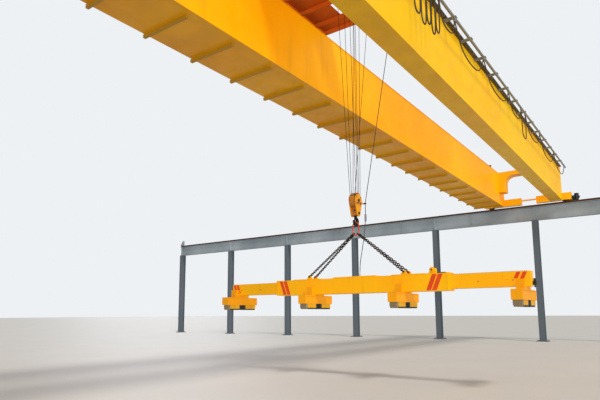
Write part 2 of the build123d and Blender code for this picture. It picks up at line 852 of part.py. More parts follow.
def hoist_drive():
    # a gearbox at the drum's left end, and a motor behind the drum
    near = bridge_y + drum_length / 2 + drum_shaft_length
    far = near + gearbox_width
    shaft_x, shaft_z = drum_x - motor_behind, drum_axis_z - motor_drop
    drive = plate_y(wrapped((drum_x, drum_axis_z), gearbox_big, (shaft_x, shaft_z), gearbox_small), near, far)
    drive += slab(shaft_x - gearbox_small - gearbox_seam, drum_x + gearbox_big + gearbox_seam,
                  near, far, shaft_z - gearbox_seam / 2, shaft_z + gearbox_seam / 2)
    drive += slab(shaft_x - gearbox_small / 2, drum_x + gearbox_big / 2, near + gearbox_seam,
                  far - gearbox_seam, deck_top, shaft_z)
    drive += motor((shaft_x, near, shaft_z), (shaft_x, near - motor_length, shaft_z), motor_radius, (0, 0, 1))
    middle = near - motor_length / 2
    drive += slab(shaft_x - motor_radius, shaft_x + motor_radius, middle - motor_foot, middle + motor_foot / 2,
                  deck_top, shaft_z - motor_radius * motor_core * 0.8)
    return drive


def sheave(across):
    # a rope sheave round the Y axis: hub, thin web, and a rim with a round groove
    radius = sheave_diameter / 2
    rim = radius + sheave_rim
    mouth = rope_diameter / 2 + rope_slack
    base = radius - rope_diameter / 2 - running_gap
    inner = base - sheave_ring
    groove = rope_diameter / 2 + groove_slack
    half = [(across / 2, 0), (across / 2, sheave_hub), (sheave_web / 2, sheave_hub), (sheave_web / 2, inner),
            (across / 2, inner), (across / 2, rim), (mouth, rim), (groove, radius)]
    walls = Polyline(*[(-a, b) for a, b in reversed(half)], *half)
    seat = ThreePointArc((groove, radius), (0, base), (-groove, radius))
    return Rot(0, 0, 90) * revolve(make_face([walls, seat]), Axis.X)


def upper_sheaves():
    # two sheaves on one pin in a stand across the rope slot, and the equaliser between them
    z = upper_sheave_z
    end = upper_stand + upper_stand_thick + pin_end
    stand = rod((hook_x, bridge_y - end, z), (hook_x, bridge_y + end, z), upper_pin)
    disc = sheave(sheave_width)
    foot = rope_slot_length / 2 + upper_stand_rest
    head = 2 * upper_pin
    for side in (-1, 1):
        near = bridge_y + side * upper_stand
        stand += Pos(hook_x, bridge_y + side * upper_sheave_at, z) * disc
        stand += along_y([(hook_x - foot, deck_top), (hook_x + foot, deck_top),
                          (hook_x + head, z + head), (hook_x - head, z + head)],
                         near, near + side * upper_stand_thick)
    half = sheave_pitch / 2 + equaliser_edge
    return stand + slab(hook_x, hook_x + sheave_diameter / 2 + equaliser_length / 2, bridge_y - half,
                        bridge_y + half, z + running_gap, z + equaliser_height)


def cable_reel():
    # two flanges on a core with round holes, on an arm from the trolley's front
    near, far = reel_y - reel_width / 2, reel_y + reel_width / 2
    holes = [Rot(0, 0, 360 / reel_holes * i) * Pos(reel_hole_at, 0) * Circle(reel_hole) for i in range(reel_holes)]
    centre = Pos(reel_x, reel_z)
    reel = plate_y(centre * (Circle(reel_core) - holes), near, far)
    for y in (near, far - reel_flange):
        reel += plate_y(centre * (Circle(reel_diameter / 2) - holes), y, y + reel_flange)
    front = hook_x + trolley_front
    reel += slab(front - reel_arm, reel_x + reel_arm, far, far + reel_arm, reel_z - reel_arm, reel_z + reel_arm)
    return reel + slab(front - reel_arm, front, far, far + reel_arm, deck_top, reel_z)


def block_cheek(side):
    # a plate as wide as the sheaves at the top and as the crosshead at the foot
    face = bridge_y + side * cheek_y
    outline = Pos(hook_x, 0) * wrapped((0, sheave_z), cheek_radius, (0, crosshead_z), cheek_foot)
    outline -= Pos(hook_x, sheave_z) * Circle(sheave_pin + running_gap)
    outline -= Pos(hook_x, crosshead_z) * Circle(trunnion + running_gap)
    plate = plate_y(outline, face, face + side * cheek_thick)
    return plate + lead_clamp() if side < 0 else plate


def lead_clamp():
    # an arm on the right cheek with a block that holds the magnet cable
    face = bridge_y - cheek_y - cheek_thick
    z = crosshead_z + lead_height
    end = hook_x + lead_out + clamp_half
    arm = slab(hook_x + cheek_foot, end, face - clamp_half, face, z - clamp_thick, z)
    return arm + slab(end - 2 * clamp_half, end, face - lead_aside - clamp_half, face, z - clamp_thick, z)


def block_cover():
    # a round shroud over the sheaves, open where the ropes run in, and two plates down past the crosshead
    inner = cheek_y - running_gap
    ring = Pos(hook_x, sheave_z) * (Circle(cover_radius) - Circle(cover_radius - cover_thick))
    shell = plate_y(ring, bridge_y - inner, bridge_y + inner)
    bar = cover_bar / 2
    near, far = sheave_diameter / 2 - cover_slot_in, sheave_diameter / 2 + cover_slot_out
    for x in (-1, 1):
        for side in (-1, 1):
            for y0, y1 in ((bar, sheave_pitch - bar), (sheave_pitch + bar, cheek_y)):
                shell -= slab(hook_x + x * near, hook_x + x * far, bridge_y + side * y0, bridge_y + side * y1,
                              sheave_z + cover_slot_low, sheave_z + cover_radius)
    top = sheave_z - (cover_radius ** 2 - housing_half ** 2) ** 0.5 + cover_thick / 2
    for x in (-1, 1):
        outer = hook_x + x * housing_half
        shell += slab(outer - x * housing_wall, outer, bridge_y - inner, bridge_y + inner,
                      crosshead_z - housing_drop, top)
    window = crosshead_z + housing_window_at
    return shell - slab(hook_x - housing_half, hook_x - housing_half + housing_wall,
                        bridge_y - housing_window / 2, bridge_y + housing_window / 2,
                        window - housing_window_height / 2, window + housing_window_height / 2)


def block_sheaves():
    end = cheek_y + cheek_thick + pin_end
    sheaves = rod((hook_x, bridge_y - end, sheave_z), (hook_x, bridge_y + end, sheave_z), sheave_pin)
    disc = sheave(sheave_width)
    for i in range(sheave_count):
        sheaves += Pos(hook_x, bridge_y + (i - (sheave_count - 1) / 2) * sheave_pitch, sheave_z) * disc
    return sheaves


def crosshead():
    # a block with a bore for the shank, on a round pivot in each cheek
    inner = cheek_y - running_gap
    end = cheek_y + cheek_thick + pin_end
    bar = slab(hook_x - crosshead_width / 2, hook_x + crosshead_width / 2, bridge_y - inner, bridge_y + inner,
               crosshead_z - crosshead_height / 2, crosshead_z + crosshead_height / 2)
    bar += rod((hook_x, bridge_y - end, crosshead_z), (hook_x, bridge_y + end, crosshead_z), trunnion)
    return bar - rod((hook_x, bridge_y, crosshead_z - crosshead_height),
                     (hook_x, bridge_y, crosshead_z + crosshead_height), shank_radius + running_gap)


def hook():
    # the bowl opens towards -X, and the shank ends in a nut over the crosshead
    top = crosshead_z - crosshead_height / 2 - running_gap - hook_z
    tip = (hook_outer - hook_back - hook_inner) / 2
    far = 2 * hook_outer
    profile = Pos(hook_back, -hook_belly) * Circle(hook_outer)
    profile -= make_face(Polyline((0, 0), (0, far), (-far, far), (-far, 0), close=True))
    profile += Pos(-hook_inner - tip, 0) * Circle(tip)
    profile += Pos(0, (top + hook_inner / 2) / 2) * Rectangle(2 * shank_radius, top - hook_inner / 2)
    profile -= Circle(hook_inner)
    body = plate_y(profile, -hook_thick / 2, hook_thick / 2)
    faces = body.edges().group_by(Axis.Y)
    body = Pos(hook_x, bridge_y, hook_z) * fillet(faces[0] + faces[-1], hook_round)
    seat = crosshead_z + crosshead_height / 2 + running_gap
    shank = rod((hook_x, bridge_y, hook_z + hook_outer), (hook_x, bridge_y, seat + nut_height), shank_radius)
    nut = rod((hook_x, bridge_y, seat), (hook_x, bridge_y, seat + nut_height), nut_radius)
    return body + shank + nut


def oval(length, width, thick):
    # a round bar bent to an oval; the sizes are between the bar's centres, with the length along Z
    r, a = width / 2, (length - width) / 2
    path = Wire([Line((-r, 0, -a), (-r, 0, a)), ThreePointArc((-r, 0, a), (0, 0, a + r), (r, 0, a)),
                 Line((r, 0, a), (r, 0, -a)), ThreePointArc((r, 0, -a), (0, 0, -a - r), (-r, 0, -a))])
    return sweep(Plane(origin=(-r, 0, -a), z_dir=(0, 0, 1)) * Circle(thick / 2), path=path)


def master_link():
    # an oval ring across the hook, resting on the rounded edges of its bowl
    inside = link_width / 2 - link_bar / 2 - hook_round
    flat = hook_thick / 2 - hook_round
    dip = inside - (inside ** 2 - flat ** 2) ** 0.5
    top = hook_z - hook_inner + link_bar / 2 + dip + 2 * running_gap
    ring = Rot(0, 0, 90) * oval(top - link_bottom, link_width, link_bar)
    return Pos(hook_x, bridge_y, (top + link_bottom) / 2) * ring


def chain_pair(side):
    # a ring on the master link, and two chains of links down to the shackles on the lugs
    r = link_width / 2
    lean = atan2(link_bottom + r - lug_z, lug_at)
    along = Vector(0, side * cos(lean), -sin(lean))
    bar = Vector(hook_x, bridge_y, link_bottom + r) + along * r
    centre = bar + along * (ring_width / 2 - link_bar / 2 - ring_bar / 2 - running_gap)
    plane = Plane(origin=centre, x_dir=(1, 0, 0), z_dir=along.cross(Vector(1, 0, 0)))
    spread = radians(ring_spread)
    inside = ((ring_bar + chain_bar) / 2 + running_gap) / cos(spread)
    pieces = [plane * Torus(ring_width / 2, ring_bar / 2)]
    for sx in (-1, 1):
        on_ring = centre + along * (ring_width / 2 * cos(spread)) + Vector(sx * ring_width / 2 * sin(spread), 0, 0)
        pin = Vector(hook_x + sx * chain_side, bridge_y + side * lug_at, lug_z)
        up = Vector(0, on_ring.Y - pin.Y, on_ring.Z - pin.Z).normalized()
        end = pin + up * (shackle_reach - (shackle_bar + chain_bar) / 2 - running_gap)
        start = on_ring - (end - on_ring).normalized() * inside
        pieces += chain(start, end) + [shackle(pin, up)]
    return pieces


def chain(start, end):
    # links that hang in one another between the middles of the first and the last bar
    run = end - start
    count = 2 * int(run.length / (2 * chain_pitch)) + 1
    step = (run.length - chain_bar - running_gap) / count
    down = run.normalized()
    flat = Vector(1, 0, 0) - down * down.X
    one = oval(step + running_gap + chain_bar, chain_inside + chain_bar, chain_bar)
    links = []
    for i in range(count):
        middle = start + down * ((chain_bar + running_gap) / 2 + step * (i + 0.5))
        across = down.cross(Vector(1, 0, 0)) if i % 2 == 0 else flat
        links.append(Plane(origin=middle, x_dir=across, z_dir=down) * one)
    return links


def shackle(pin, up):
    # a bow round the last link and a pin through the lug
    r = (shackle_inside + shackle_bar) / 2
    leg = shackle_reach - r
    path = Wire([Line((-r, 0, 0), (-r, 0, leg)), ThreePointArc((-r, 0, leg), (0, 0, shackle_reach), (r, 0, leg)),
                 Line((r, 0, leg), (r, 0, 0))])
    bow = sweep(Plane(origin=(-r, 0, 0), z_dir=(0, 0, 1)) * Circle(shackle_bar / 2), path=path)
    for x in (-r, r):
        bow += rod((x - shackle_bar / 2, 0, 0), (x + shackle_bar / 2, 0, 0), shackle_head)
    end = r + shackle_bar / 2 + pin_end
    bow += rod((-end, 0, 0), (end, 0, 0), shackle_pin / 2)
    return Plane(origin=pin, x_dir=(1, 0, 0), z_dir=up) * bow


def spreader_beam():
    # a square tube, and at each end a collar that the arm slides in
    half_x, wall = spreader_width / 2, spreader_wall
    tube_end = spreader_half - collar_length - running_gap
    tube = slab(hook_x - half_x, hook_x + half_x, bridge_y - tube_end, bridge_y + tube_end,
                spreader_bottom, spreader_top)
    tube -= slab(hook_x - half_x + wall, hook_x + half_x - wall, bridge_y - tube_end, bridge_y + tube_end,
                 spreader_bottom + wall, spreader_top - wall)
    pieces = [tube]
    for end in (-1, 1):
        outer = bridge_y + end * spreader_half
        inner = outer - end * collar_length
        ring = slab(hook_x - half_x - collar_lip, hook_x + half_x + collar_lip, inner, outer,
                    spreader_bottom, spreader_top + collar_lip)
        ring -= slab(hook_x - arm_width / 2 - sliding_gap, hook_x + arm_width / 2 + sliding_gap,
                     inner, outer, arm_bottom - running_gap, arm_top + sliding_gap)
        if end < 0:
            notch = rack_width / 2 + rack_gap
            ring -= slab(hook_x - notch, hook_x + notch, inner, outer, arm_top,
                         arm_top + rack_height + rack_tooth + rack_gap)
        pieces.append(ring)
    return pieces


def spreader_lugs():
    # a saddle on the beam's top, and on each side of it a plate with a round-headed lug for each chain
    edge = spreader_width / 2 + saddle_lip
    pieces = [slab(hook_x - edge, hook_x + edge, bridge_y - saddle_length / 2, bridge_y + saddle_length / 2,
                   spreader_top, spreader_top + saddle_thick)]
    turn = acos(lug_head / hypot(lug_length / 2, lug_height)) - atan2(lug_height, lug_length / 2)
    a, b = lug_head * cos(turn), lug_head * sin(turn)
    foot = make_face(Polyline((-lug_length / 2, -lug_height), (lug_length / 2, -lug_height), (a, b), (-a, b),
                              close=True))
    outline = foot + Circle(lug_head) - Circle(shackle_pin / 2 + running_gap)
    for sy in (-1, 1):
        plate = slab(hook_x - edge, hook_x + edge, bridge_y + sy * lug_plate_start, bridge_y + sy * lug_plate_end,
                     spreader_top, spreader_top + lug_plate_thick)
        for sx in (-1, 1):
            x = hook_x + sx * chain_side
            plate += plate_x(Pos(bridge_y + sy * lug_at, lug_z) * outline, x - lug_thick / 2, x + lug_thick / 2)
        pieces.append(plate)
    return pieces


def arm_drive():
    # a gear case with a sprocket on its side, on a base near the right collar
    y = bridge_y - arm_drive_at
    base = spreader_top + saddle_thick
    half_x, half_y = arm_drive_width / 2, arm_drive_length / 2
    drive = slab(hook_x - half_x, hook_x + half_x, y - half_y, y + half_y, spreader_top, base)
    case = slab(hook_x - half_x * 0.6, hook_x + half_x * 0.6, y - half_y * 0.7, y + half_y * 0.7,
                base, base + arm_drive_height)
    drive += fillet(case.edges().filter_by(Axis.X).sort_by(Axis.Z)[2:], arm_drive_height / 3)
    axle_z = base + arm_drive_height / 2 + sprocket_tooth
    wheel_teeth = Circle(sprocket_radius)
    for i in range(sprocket_teeth):
        tooth = Pos(sprocket_radius, 0) * Rectangle(2 * sprocket_tooth, sprocket_tooth)
        wheel_teeth += Rot(0, 0, 360 / sprocket_teeth * i) * tooth
    face = hook_x - half_x * 0.6
    return drive + plate_x(Pos(y, axle_z) * wheel_teeth, face, face - sprocket_width)


def crossbar(y):
    # a box across the spreader with flanges at the top and the bottom and plates over its ends
    half_x, half_y = crossbar_length / 2, crossbar_width / 2
    bar = slab(hook_x - half_x, hook_x + half_x, y - half_y + crossbar_lip, y + half_y - crossbar_lip,
               crossbar_bottom, crossbar_top)
    for z in (crossbar_bottom, crossbar_top - crossbar_flange):
        bar += slab(hook_x - half_x, hook_x + half_x, y - half_y, y + half_y, z, z + crossbar_flange)
    for x in (hook_x - half_x, hook_x + half_x - crossbar_flange):
        bar += slab(x, x + crossbar_flange, y - half_y, y + half_y, crossbar_bottom, crossbar_top)
    return bar


def hung_crossbar(y, half_width, seat):
    # packing under the beam or arm, and a welded bracket up the lower half of each of its sides
    hung = crossbar(y) + slab(hook_x - half_width, hook_x + half_width, y - bracket_width / 2,
                              y + bracket_width / 2, crossbar_top, seat)
    half_y = bracket_width / 2
    for side in (-1, 1):
        inner, outer = hook_x + side * half_width, hook_x + side * bracket_out
        hung += slab(inner, outer, y - half_y, y + half_y, crossbar_top, bracket_top)
        hung -= slab(inner, outer - side * bracket_plate, y - half_y + bracket_plate, y + half_y - bracket_plate,
                     crossbar_top, bracket_top)
    return hung


def inner_crossbar(side):
    return hung_crossbar(bridge_y + side * crossbar_at, spreader_width / 2, spreader_bottom)


def magnets(y):
    # two magnets under a crossbar, each a case with two pole shoes
    units = []
    for side in (-1, 1):
        x = hook_x + side * magnet_at
        half_x, half_y = magnet_length / 2, magnet_width / 2
        case = slab(x - half_x, x + half_x, y - half_y, y + half_y, magnet_bottom + magnet_pole, crossbar_bottom)
        unit = fillet(case.edges().filter_by(Axis.Z), magnet_round)
        for end in (-1, 1):
            unit += slab(x + end * magnet_slot / 2, x + end * (half_x - magnet_round),
                         y - half_y + magnet_round, y + half_y - magnet_round,
                         magnet_bottom, magnet_bottom + magnet_pole)
        units.append(unit)
    return units


def arm(side):
    # a square tube with a closed outer end
    outer = bridge_y + side * arm_reach
    inner = outer - side * arm_length
    tube = slab(hook_x - arm_width / 2, hook_x + arm_width / 2, inner, outer, arm_bottom, arm_top)
    return tube - slab(hook_x - arm_width / 2 + arm_wall, hook_x + arm_width / 2 - arm_wall,
                       inner, outer - side * arm_wall, arm_bottom + arm_wall, arm_top - arm_wall)


def rack():
    # a toothed bar along the right arm's top
    start = bridge_y - arm_reach + rack_end
    end = bridge_y - arm_reach + arm_length - rack_end
    low = arm_top + rack_height
    outline = [(end, arm_top), (start, arm_top), (start, low)]
    for i in range(int((end - start) / rack_pitch)):
        y = start + i * rack_pitch
        outline += [(y + rack_pitch * 0.2, low), (y + rack_pitch * 0.35, low + rack_tooth),
                    (y + rack_pitch * 0.65, low + rack_tooth), (y + rack_pitch * 0.8, low)]
    outline.append((end, low))
    return along_x(outline, hook_x - rack_width / 2, hook_x + rack_width / 2)


def arm_crossbar(side):
    return hung_crossbar(bridge_y + side * arm_crossbar_at, arm_width / 2, arm_bottom)


def drum_ropes():
    # the two falls that run up to the drum
    r = sheave_diameter / 2
    outer = sheave_pitch * (sheave_count - 1) / 2
    return [rod((hook_x - r, bridge_y + side * outer, sheave_z),
                (hook_x + drum_rope_ahead, bridge_y + side * drum_fall, drum_axis_z),
                rope_diameter / 2) for side in (-1, 1)]


def hoist_ropes():
    # six falls: four to the upper sheaves and two to the equaliser
    r = sheave_diameter / 2
    outer, inner = sheave_pitch * (sheave_count - 1) / 2, sheave_pitch / 2
    falls = []
    for side in (-1, 1):
        for x, y0, y1 in ((r, outer, upper_sheave_at), (-r, inner, upper_sheave_at), (r, inner, inner)):
            falls.append(rod((hook_x + x, bridge_y + side * y0, sheave_z),
                             (hook_x + x, bridge_y + side * y1, upper_sheave_z), rope_diameter / 2))
    return falls


def lead_top():
    # where the magnet cable is held, beside the block
    return hook_x + lead_out, bridge_y - cheek_y - cheek_thick - lead_aside


def magnet_cable():
    # from the clamp on the block up to the far side of the reel, where it runs on
    x, y = lead_top()
    z = crosshead_z + lead_height + lead_gap
    across, up = reel_x - x, reel_z - z
    radius = reel_core + lead_diameter / 2 + running_gap
    lean = atan2(across, up) + asin(radius / hypot(across, up))
    head = (reel_x + radius * cos(lean), reel_y, reel_z - radius * sin(lean))
    return rod((x, y, z), head, lead_diameter / 2)


def magnet_lead():
    # from the clamp down and inwards to the spreader's top
    x, y = lead_top()
    top = crosshead_z + lead_height - clamp_thick - running_gap
    foot_x, foot_y = x - lead_back, y + lead_swing
    points = [(x, y, top), (x, y, top - lead_straight),
              (foot_x + lead_swing / 2, y + lead_swing / 2, spreader_top + lead_high_bend),
              (foot_x, foot_y, spreader_top + lead_low_bend),
              (foot_x, foot_y, spreader_top + saddle_thick + running_gap)]
    path = FilletPolyline(*points, radius=lead_radii)
    return sweep(Plane(origin=points[0], z_dir=(0, 0, -1)) * Circle(lead_diameter / 2), path=path)


os.makedirs("parts", exist_ok=True)

save("far_runway_beam", runway_beam(half_span))
save("near_runway_beam", runway_beam(-half_span))
save("runway_rails", runway_rail(-half_span), runway_rail(half_span))
save("far_columns", *[column(half_span, y) for y in column_places()])
save("near_columns", *[column(-half_span, y) for y in column_places()])
save("runway_stops", *[runway_stop(sx * half_span, sy) for sx in (-1, 1) for sy in (-1, 1)])

save("left_girder", girder(1))
save("right_girder", girder(-1))
save("end_carriages", end_carriage(-1), end_carriage(1))
save("bridge_wheels", *bridge_wheels())
save("end_ties", end_tie(-1), end_tie(1))
save("bridge_buffers", *[bridge_buffer(sx * half_span, sy) for sx in (-1, 1) for sy in (-1, 1)])
save("travel_drives", travel_drive(-1), travel_drive(1))
save("trolley_rails", *[trolley_rail(side) for side in (-1, 1)],
     *[trolley_stop(side, end) for side in (-1, 1) for end in (-1, 1)])
save("walkway", walkway())
save("walkway_handrail", handrail())
save("festoon_track", festoon_track_and_brackets())
save("cable_tray", cable_tray())
save("festoon_carriers", *[festoon_carrier(x) for x in carrier_places()])
save("festoon_cable", *festoon_loops())

save("trolley_frame", trolley_frame())
save("trolley_wheels", *trolley_wheels())
save("hoist_drum", hoist_drum())
save("hoist_drive", hoist_drive())
save("upper_sheaves", upper_sheaves())
save("cable_reel", cable_reel())
save("hoist_ropes", *hoist_ropes())
save("drum_ropes", *drum_ropes())
save("magnet_cable", magnet_cable())

save("block_cheeks", block_cheek(-1), block_cheek(1))
save("block_cover", block_cover())
save("block_sheaves", block_sheaves())
save("crosshead", crosshead())

save("hook", hook())
save("master_link", master_link())
save("lifting_chains", *chain_pair(-1), *chain_pair(1))
save("magnet_lead", magnet_lead())
save("spreader_beam", *spreader_beam())
save("spreader_lugs", *spreader_lugs())
save("arm_drive", arm_drive())
save("inner_crossbars", inner_crossbar(-1), inner_crossbar(1))
save("inner_magnets", *[m for side in (-1, 1) for m in magnets(bridge_y + side * crossbar_at)])

save("left_arm", arm(1))
save("right_arm", arm(-1) + rack())
for name, side in (("left", 1), ("right", -1)):
    save(f"{name}_crossbar", arm_crossbar(side))
    save(f"{name}_magnets", *magnets(bridge_y + side * arm_crossbar_at))
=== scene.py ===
import json
import math

import bmesh
import bpy
from mathutils import Euler, Matrix, Vector
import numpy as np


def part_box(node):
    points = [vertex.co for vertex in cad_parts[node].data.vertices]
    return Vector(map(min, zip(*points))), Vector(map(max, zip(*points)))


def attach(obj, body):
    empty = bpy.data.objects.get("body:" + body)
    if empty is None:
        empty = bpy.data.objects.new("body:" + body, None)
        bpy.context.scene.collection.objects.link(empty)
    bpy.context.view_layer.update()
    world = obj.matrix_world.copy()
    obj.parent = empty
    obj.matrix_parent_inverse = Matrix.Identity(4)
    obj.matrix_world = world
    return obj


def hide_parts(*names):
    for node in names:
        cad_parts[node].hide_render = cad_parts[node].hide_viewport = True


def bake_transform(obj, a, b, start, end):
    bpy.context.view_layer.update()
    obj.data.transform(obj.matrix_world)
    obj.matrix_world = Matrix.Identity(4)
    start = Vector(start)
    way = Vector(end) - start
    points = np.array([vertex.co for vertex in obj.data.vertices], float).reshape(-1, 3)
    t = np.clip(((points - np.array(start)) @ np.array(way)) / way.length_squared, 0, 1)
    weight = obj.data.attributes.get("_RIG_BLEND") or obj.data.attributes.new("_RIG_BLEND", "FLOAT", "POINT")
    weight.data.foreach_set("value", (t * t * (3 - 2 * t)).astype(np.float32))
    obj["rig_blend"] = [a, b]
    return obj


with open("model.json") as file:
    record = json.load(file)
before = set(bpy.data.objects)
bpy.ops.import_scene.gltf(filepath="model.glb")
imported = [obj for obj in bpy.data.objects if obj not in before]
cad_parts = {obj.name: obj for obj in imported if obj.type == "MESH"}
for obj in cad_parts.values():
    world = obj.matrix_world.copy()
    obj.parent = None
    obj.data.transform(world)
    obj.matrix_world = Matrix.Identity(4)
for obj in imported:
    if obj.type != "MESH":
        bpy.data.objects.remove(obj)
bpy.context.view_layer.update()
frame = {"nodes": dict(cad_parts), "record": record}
nodes = frame["nodes"]
print("frame loaded:", len(nodes), "nodes")

# Values are in metres and degrees


def linear(text):
    # An sRGB hex colour as the renderer's own numbers.
    parts = [int(text[i:i + 2], 16) / 255 for i in (1, 3, 5)]
    return [c / 12.92 if c <= 0.04045 else ((c + 0.055) / 1.055) ** 2.4 for c in parts] + [1.0]


def addNode(tree, kind, sockets=None, **settings):
    # A shader or geometry node; a socket is given a value, or another node's output to read.
    node = tree.nodes.new(kind)
    for key, value in settings.items():
        setattr(node, key, value)
    for key, value in (sockets or {}).items():
        if isinstance(value, bpy.types.NodeSocket):
            tree.links.new(value, node.inputs[key])
        else:
            node.inputs[key].default_value = value
    return node


def blank(name):
    # A new material, its emptied tree and the place on the object for its textures.
    material = bpy.data.materials.new(name)
    material.use_nodes = True
    tree = material.node_tree
    tree.nodes.clear()
    return material, tree, addNode(tree, "ShaderNodeTexCoord").outputs["Object"]


def layers(tree, place, noises, ranges):
    # Noise fields on the object, and the shares cut from them or from how far a face looks up. A noise is
    # its patches to a metre, detail, harshness and stretch; a share is its source, two levels and its range.
    normal = addNode(tree, "ShaderNodeNewGeometry").outputs["Normal"]
    fields = {"up": addNode(tree, "ShaderNodeSeparateXYZ", {0: normal}).outputs["Z"]}
    for part, row in noises.items():
        scale, detail, harshness, stretch = (*row, *(1.0, 4.0, 0.55, (1, 1, 1))[len(row):])
        mapped = addNode(tree, "ShaderNodeMapping", {"Vector": place, "Scale": stretch})
        sockets = {"Vector": mapped.outputs[0], "Scale": scale, "Detail": detail, "Roughness": harshness}
        fields[part] = addNode(tree, "ShaderNodeTexNoise", sockets).outputs[0]
    shares = {}
    for part, row in ranges.items():
        source, low, high, least, most = (*row, *("up", 0.0, 1.0, 0.0, 1.0)[len(row):])
        sockets = {"Value": fields[source], "From Min": low, "From Max": high, "To Min": least,
                   "To Max": most}
        ranged = addNode(tree, "ShaderNodeMapRange", sockets, interpolation_type="SMOOTHSTEP")
        shares[part] = ranged.outputs[0]
    return fields, shares


def finishMaterial(tree, colour, roughness, metallic, height, depth, specular=0.5):
    bump = addNode(tree, "ShaderNodeBump", {"Height": height, "Distance": depth, "Strength": 1.0})
    sockets = {"Base Color": colour, "Roughness": roughness, "Metallic": metallic, "Normal": bump.outputs[0],
               "Specular IOR Level": specular}
    shader = addNode(tree, "ShaderNodeBsdfPrincipled", sockets)
    addNode(tree, "ShaderNodeOutputMaterial", {"Surface": shader.outputs[0]})


def seams(tree, place, pitch, width):
    # A narrow raised line across X at each pitch, as a plate's butt weld makes.
    value = addNode(tree, "ShaderNodeSeparateXYZ", {0: place}).outputs["X"]
    for operation, number in (("DIVIDE", pitch), ("FRACT", 0.0), ("SUBTRACT", 0.5), ("ABSOLUTE", 0.0)):
        value = addNode(tree, "ShaderNodeMath", {0: value, 1: number}, operation=operation).outputs[0]
    sockets = {"Value": value, "From Min": width / pitch, "From Max": 0.0, "To Min": 0.0, "To Max": 0.8}
    return addNode(tree, "ShaderNodeMapRange", sockets, interpolation_type="SMOOTHSTEP").outputs[0]


def paintZones(tree, place, colour, values):
    # What is painted in another colour: below or above a level, and in bands across X.
    axes = addNode(tree, "ShaderNodeSeparateXYZ", {0: place}).outputs
    edges = []
    if "zone" in values:
        level, soft, zone = values["zone"]
        edges.append((axes["Z"], level + soft, level - soft, zone))
    for middle, half, zone in values.get("bands", ()):
        away = axes["X"]
        for operation, number in (("SUBTRACT", middle), ("ABSOLUTE", 0.0)):
            away = addNode(tree, "ShaderNodeMath", {0: away, 1: number}, operation=operation).outputs[0]
        edges.append((away, half + 0.001, half - 0.001, zone))
    for value, outside, inside, zone in edges:
        sockets = {"Value": value, "From Min": outside, "From Max": inside, "To Min": 0.0, "To Max": 1.0}
        share = addNode(tree, "ShaderNodeMapRange", sockets, interpolation_type="SMOOTHSTEP").outputs[0]
        mixed = {0: share, 6: colour, 7: linear(colours[zone])}
        colour = addNode(tree, "ShaderNodeMix", mixed, data_type="RGBA").outputs[2]
    return colour


def enamel(name, values):
    # Sprayed enamel on steel: uneven tone, runs of dirt, painted shade on faces that look down, dust on top
    # and chipped spots.
    material, tree, place = blank(name)
    own, shade, grime, bare = (linear(colours[values[key]]) for key in ("colour", "shade", "grime", "bare"))
    tone, run, chipFrom = values["toneScale"], values["runScale"], values["chipFrom"]
    # The spray's ripple is 11 mm across, coarser than the real one, so that it shows
    noises = {"tone": (tone,), "runs": (run, 5.0, 0.6, (1, 1, 0.06)), "patches": (tone * 1.7,),
              "mottle": (run * 0.6,), "dust": (5.0,), "chips": (values["chipScale"], 6.0, 0.7),
              "gloss": (run * 2,), "ripple": (90.0,), "wave": (values["wave"], 2.0)}
    # Faces that look down are darkened in the grime colour: painted shade.
    ranges = {"tone": ("tone", 0.3, 0.7), "runs": ("runs", 0.52, 0.78, 0.0, values["runs"]),
              "patches": ("patches", 0.4, 0.75), "under": ("up", -0.35, -0.9, 0.0, values["under"]),
              "mottle": ("mottle", 0.2, 0.8, 0.6, 1.0), "top": ("up", 0.6, 0.95, 0.0, values["dust"]),
              "dust": ("dust", 0.3, 0.7), "chips": ("chips", chipFrom, chipFrom + 0.012),
              "gloss": ("gloss", 0.25, 0.75, *values["gloss"])}
    fields, shares = layers(tree, place, noises, ranges)
    for part, other in (("runs", "patches"), ("under", "mottle"), ("top", "dust")):
        both = {0: shares[part], 1: shares[other]}
        shares[part] = addNode(tree, "ShaderNodeMath", both, operation="MULTIPLY").outputs[0]
    colour = own
    for part, coat in (("tone", shade), ("runs", grime), ("under", grime), ("top", linear(colours["dust"])),
                       ("chips", bare)):
        mixed = {0: shares[part], 6: colour, 7: coat}
        colour = addNode(tree, "ShaderNodeMix", mixed, data_type="RGBA").outputs[2]
    colour = paintZones(tree, place, colour, values)
    dull = addNode(tree, "ShaderNodeMath", {0: shares["top"], 1: 0.35}, operation="MULTIPLY").outputs[0]
    rough = addNode(tree, "ShaderNodeMath", {0: shares["gloss"], 1: dull}, operation="ADD").outputs[0]
    ripple = addNode(tree, "ShaderNodeMath", {0: fields["ripple"], 1: 0.18}, operation="MULTIPLY").outputs[0]
    height = addNode(tree, "ShaderNodeMath", {0: ripple, 1: fields["wave"]}, operation="ADD").outputs[0]
    if "seamPitch" in values:
        seam = seams(tree, place, values["seamPitch"], values["seamWidth"])
        height = addNode(tree, "ShaderNodeMath", {0: height, 1: seam}, operation="ADD").outputs[0]
    pits = addNode(tree, "ShaderNodeMath", {0: shares["chips"], 1: 0.25}, operation="MULTIPLY").outputs[0]
    height = addNode(tree, "ShaderNodeMath", {0: height, 1: pits}, operation="SUBTRACT").outputs[0]
    finishMaterial(tree, colour, rough, 0.0, height, values["depth"], values["specular"])
    return material


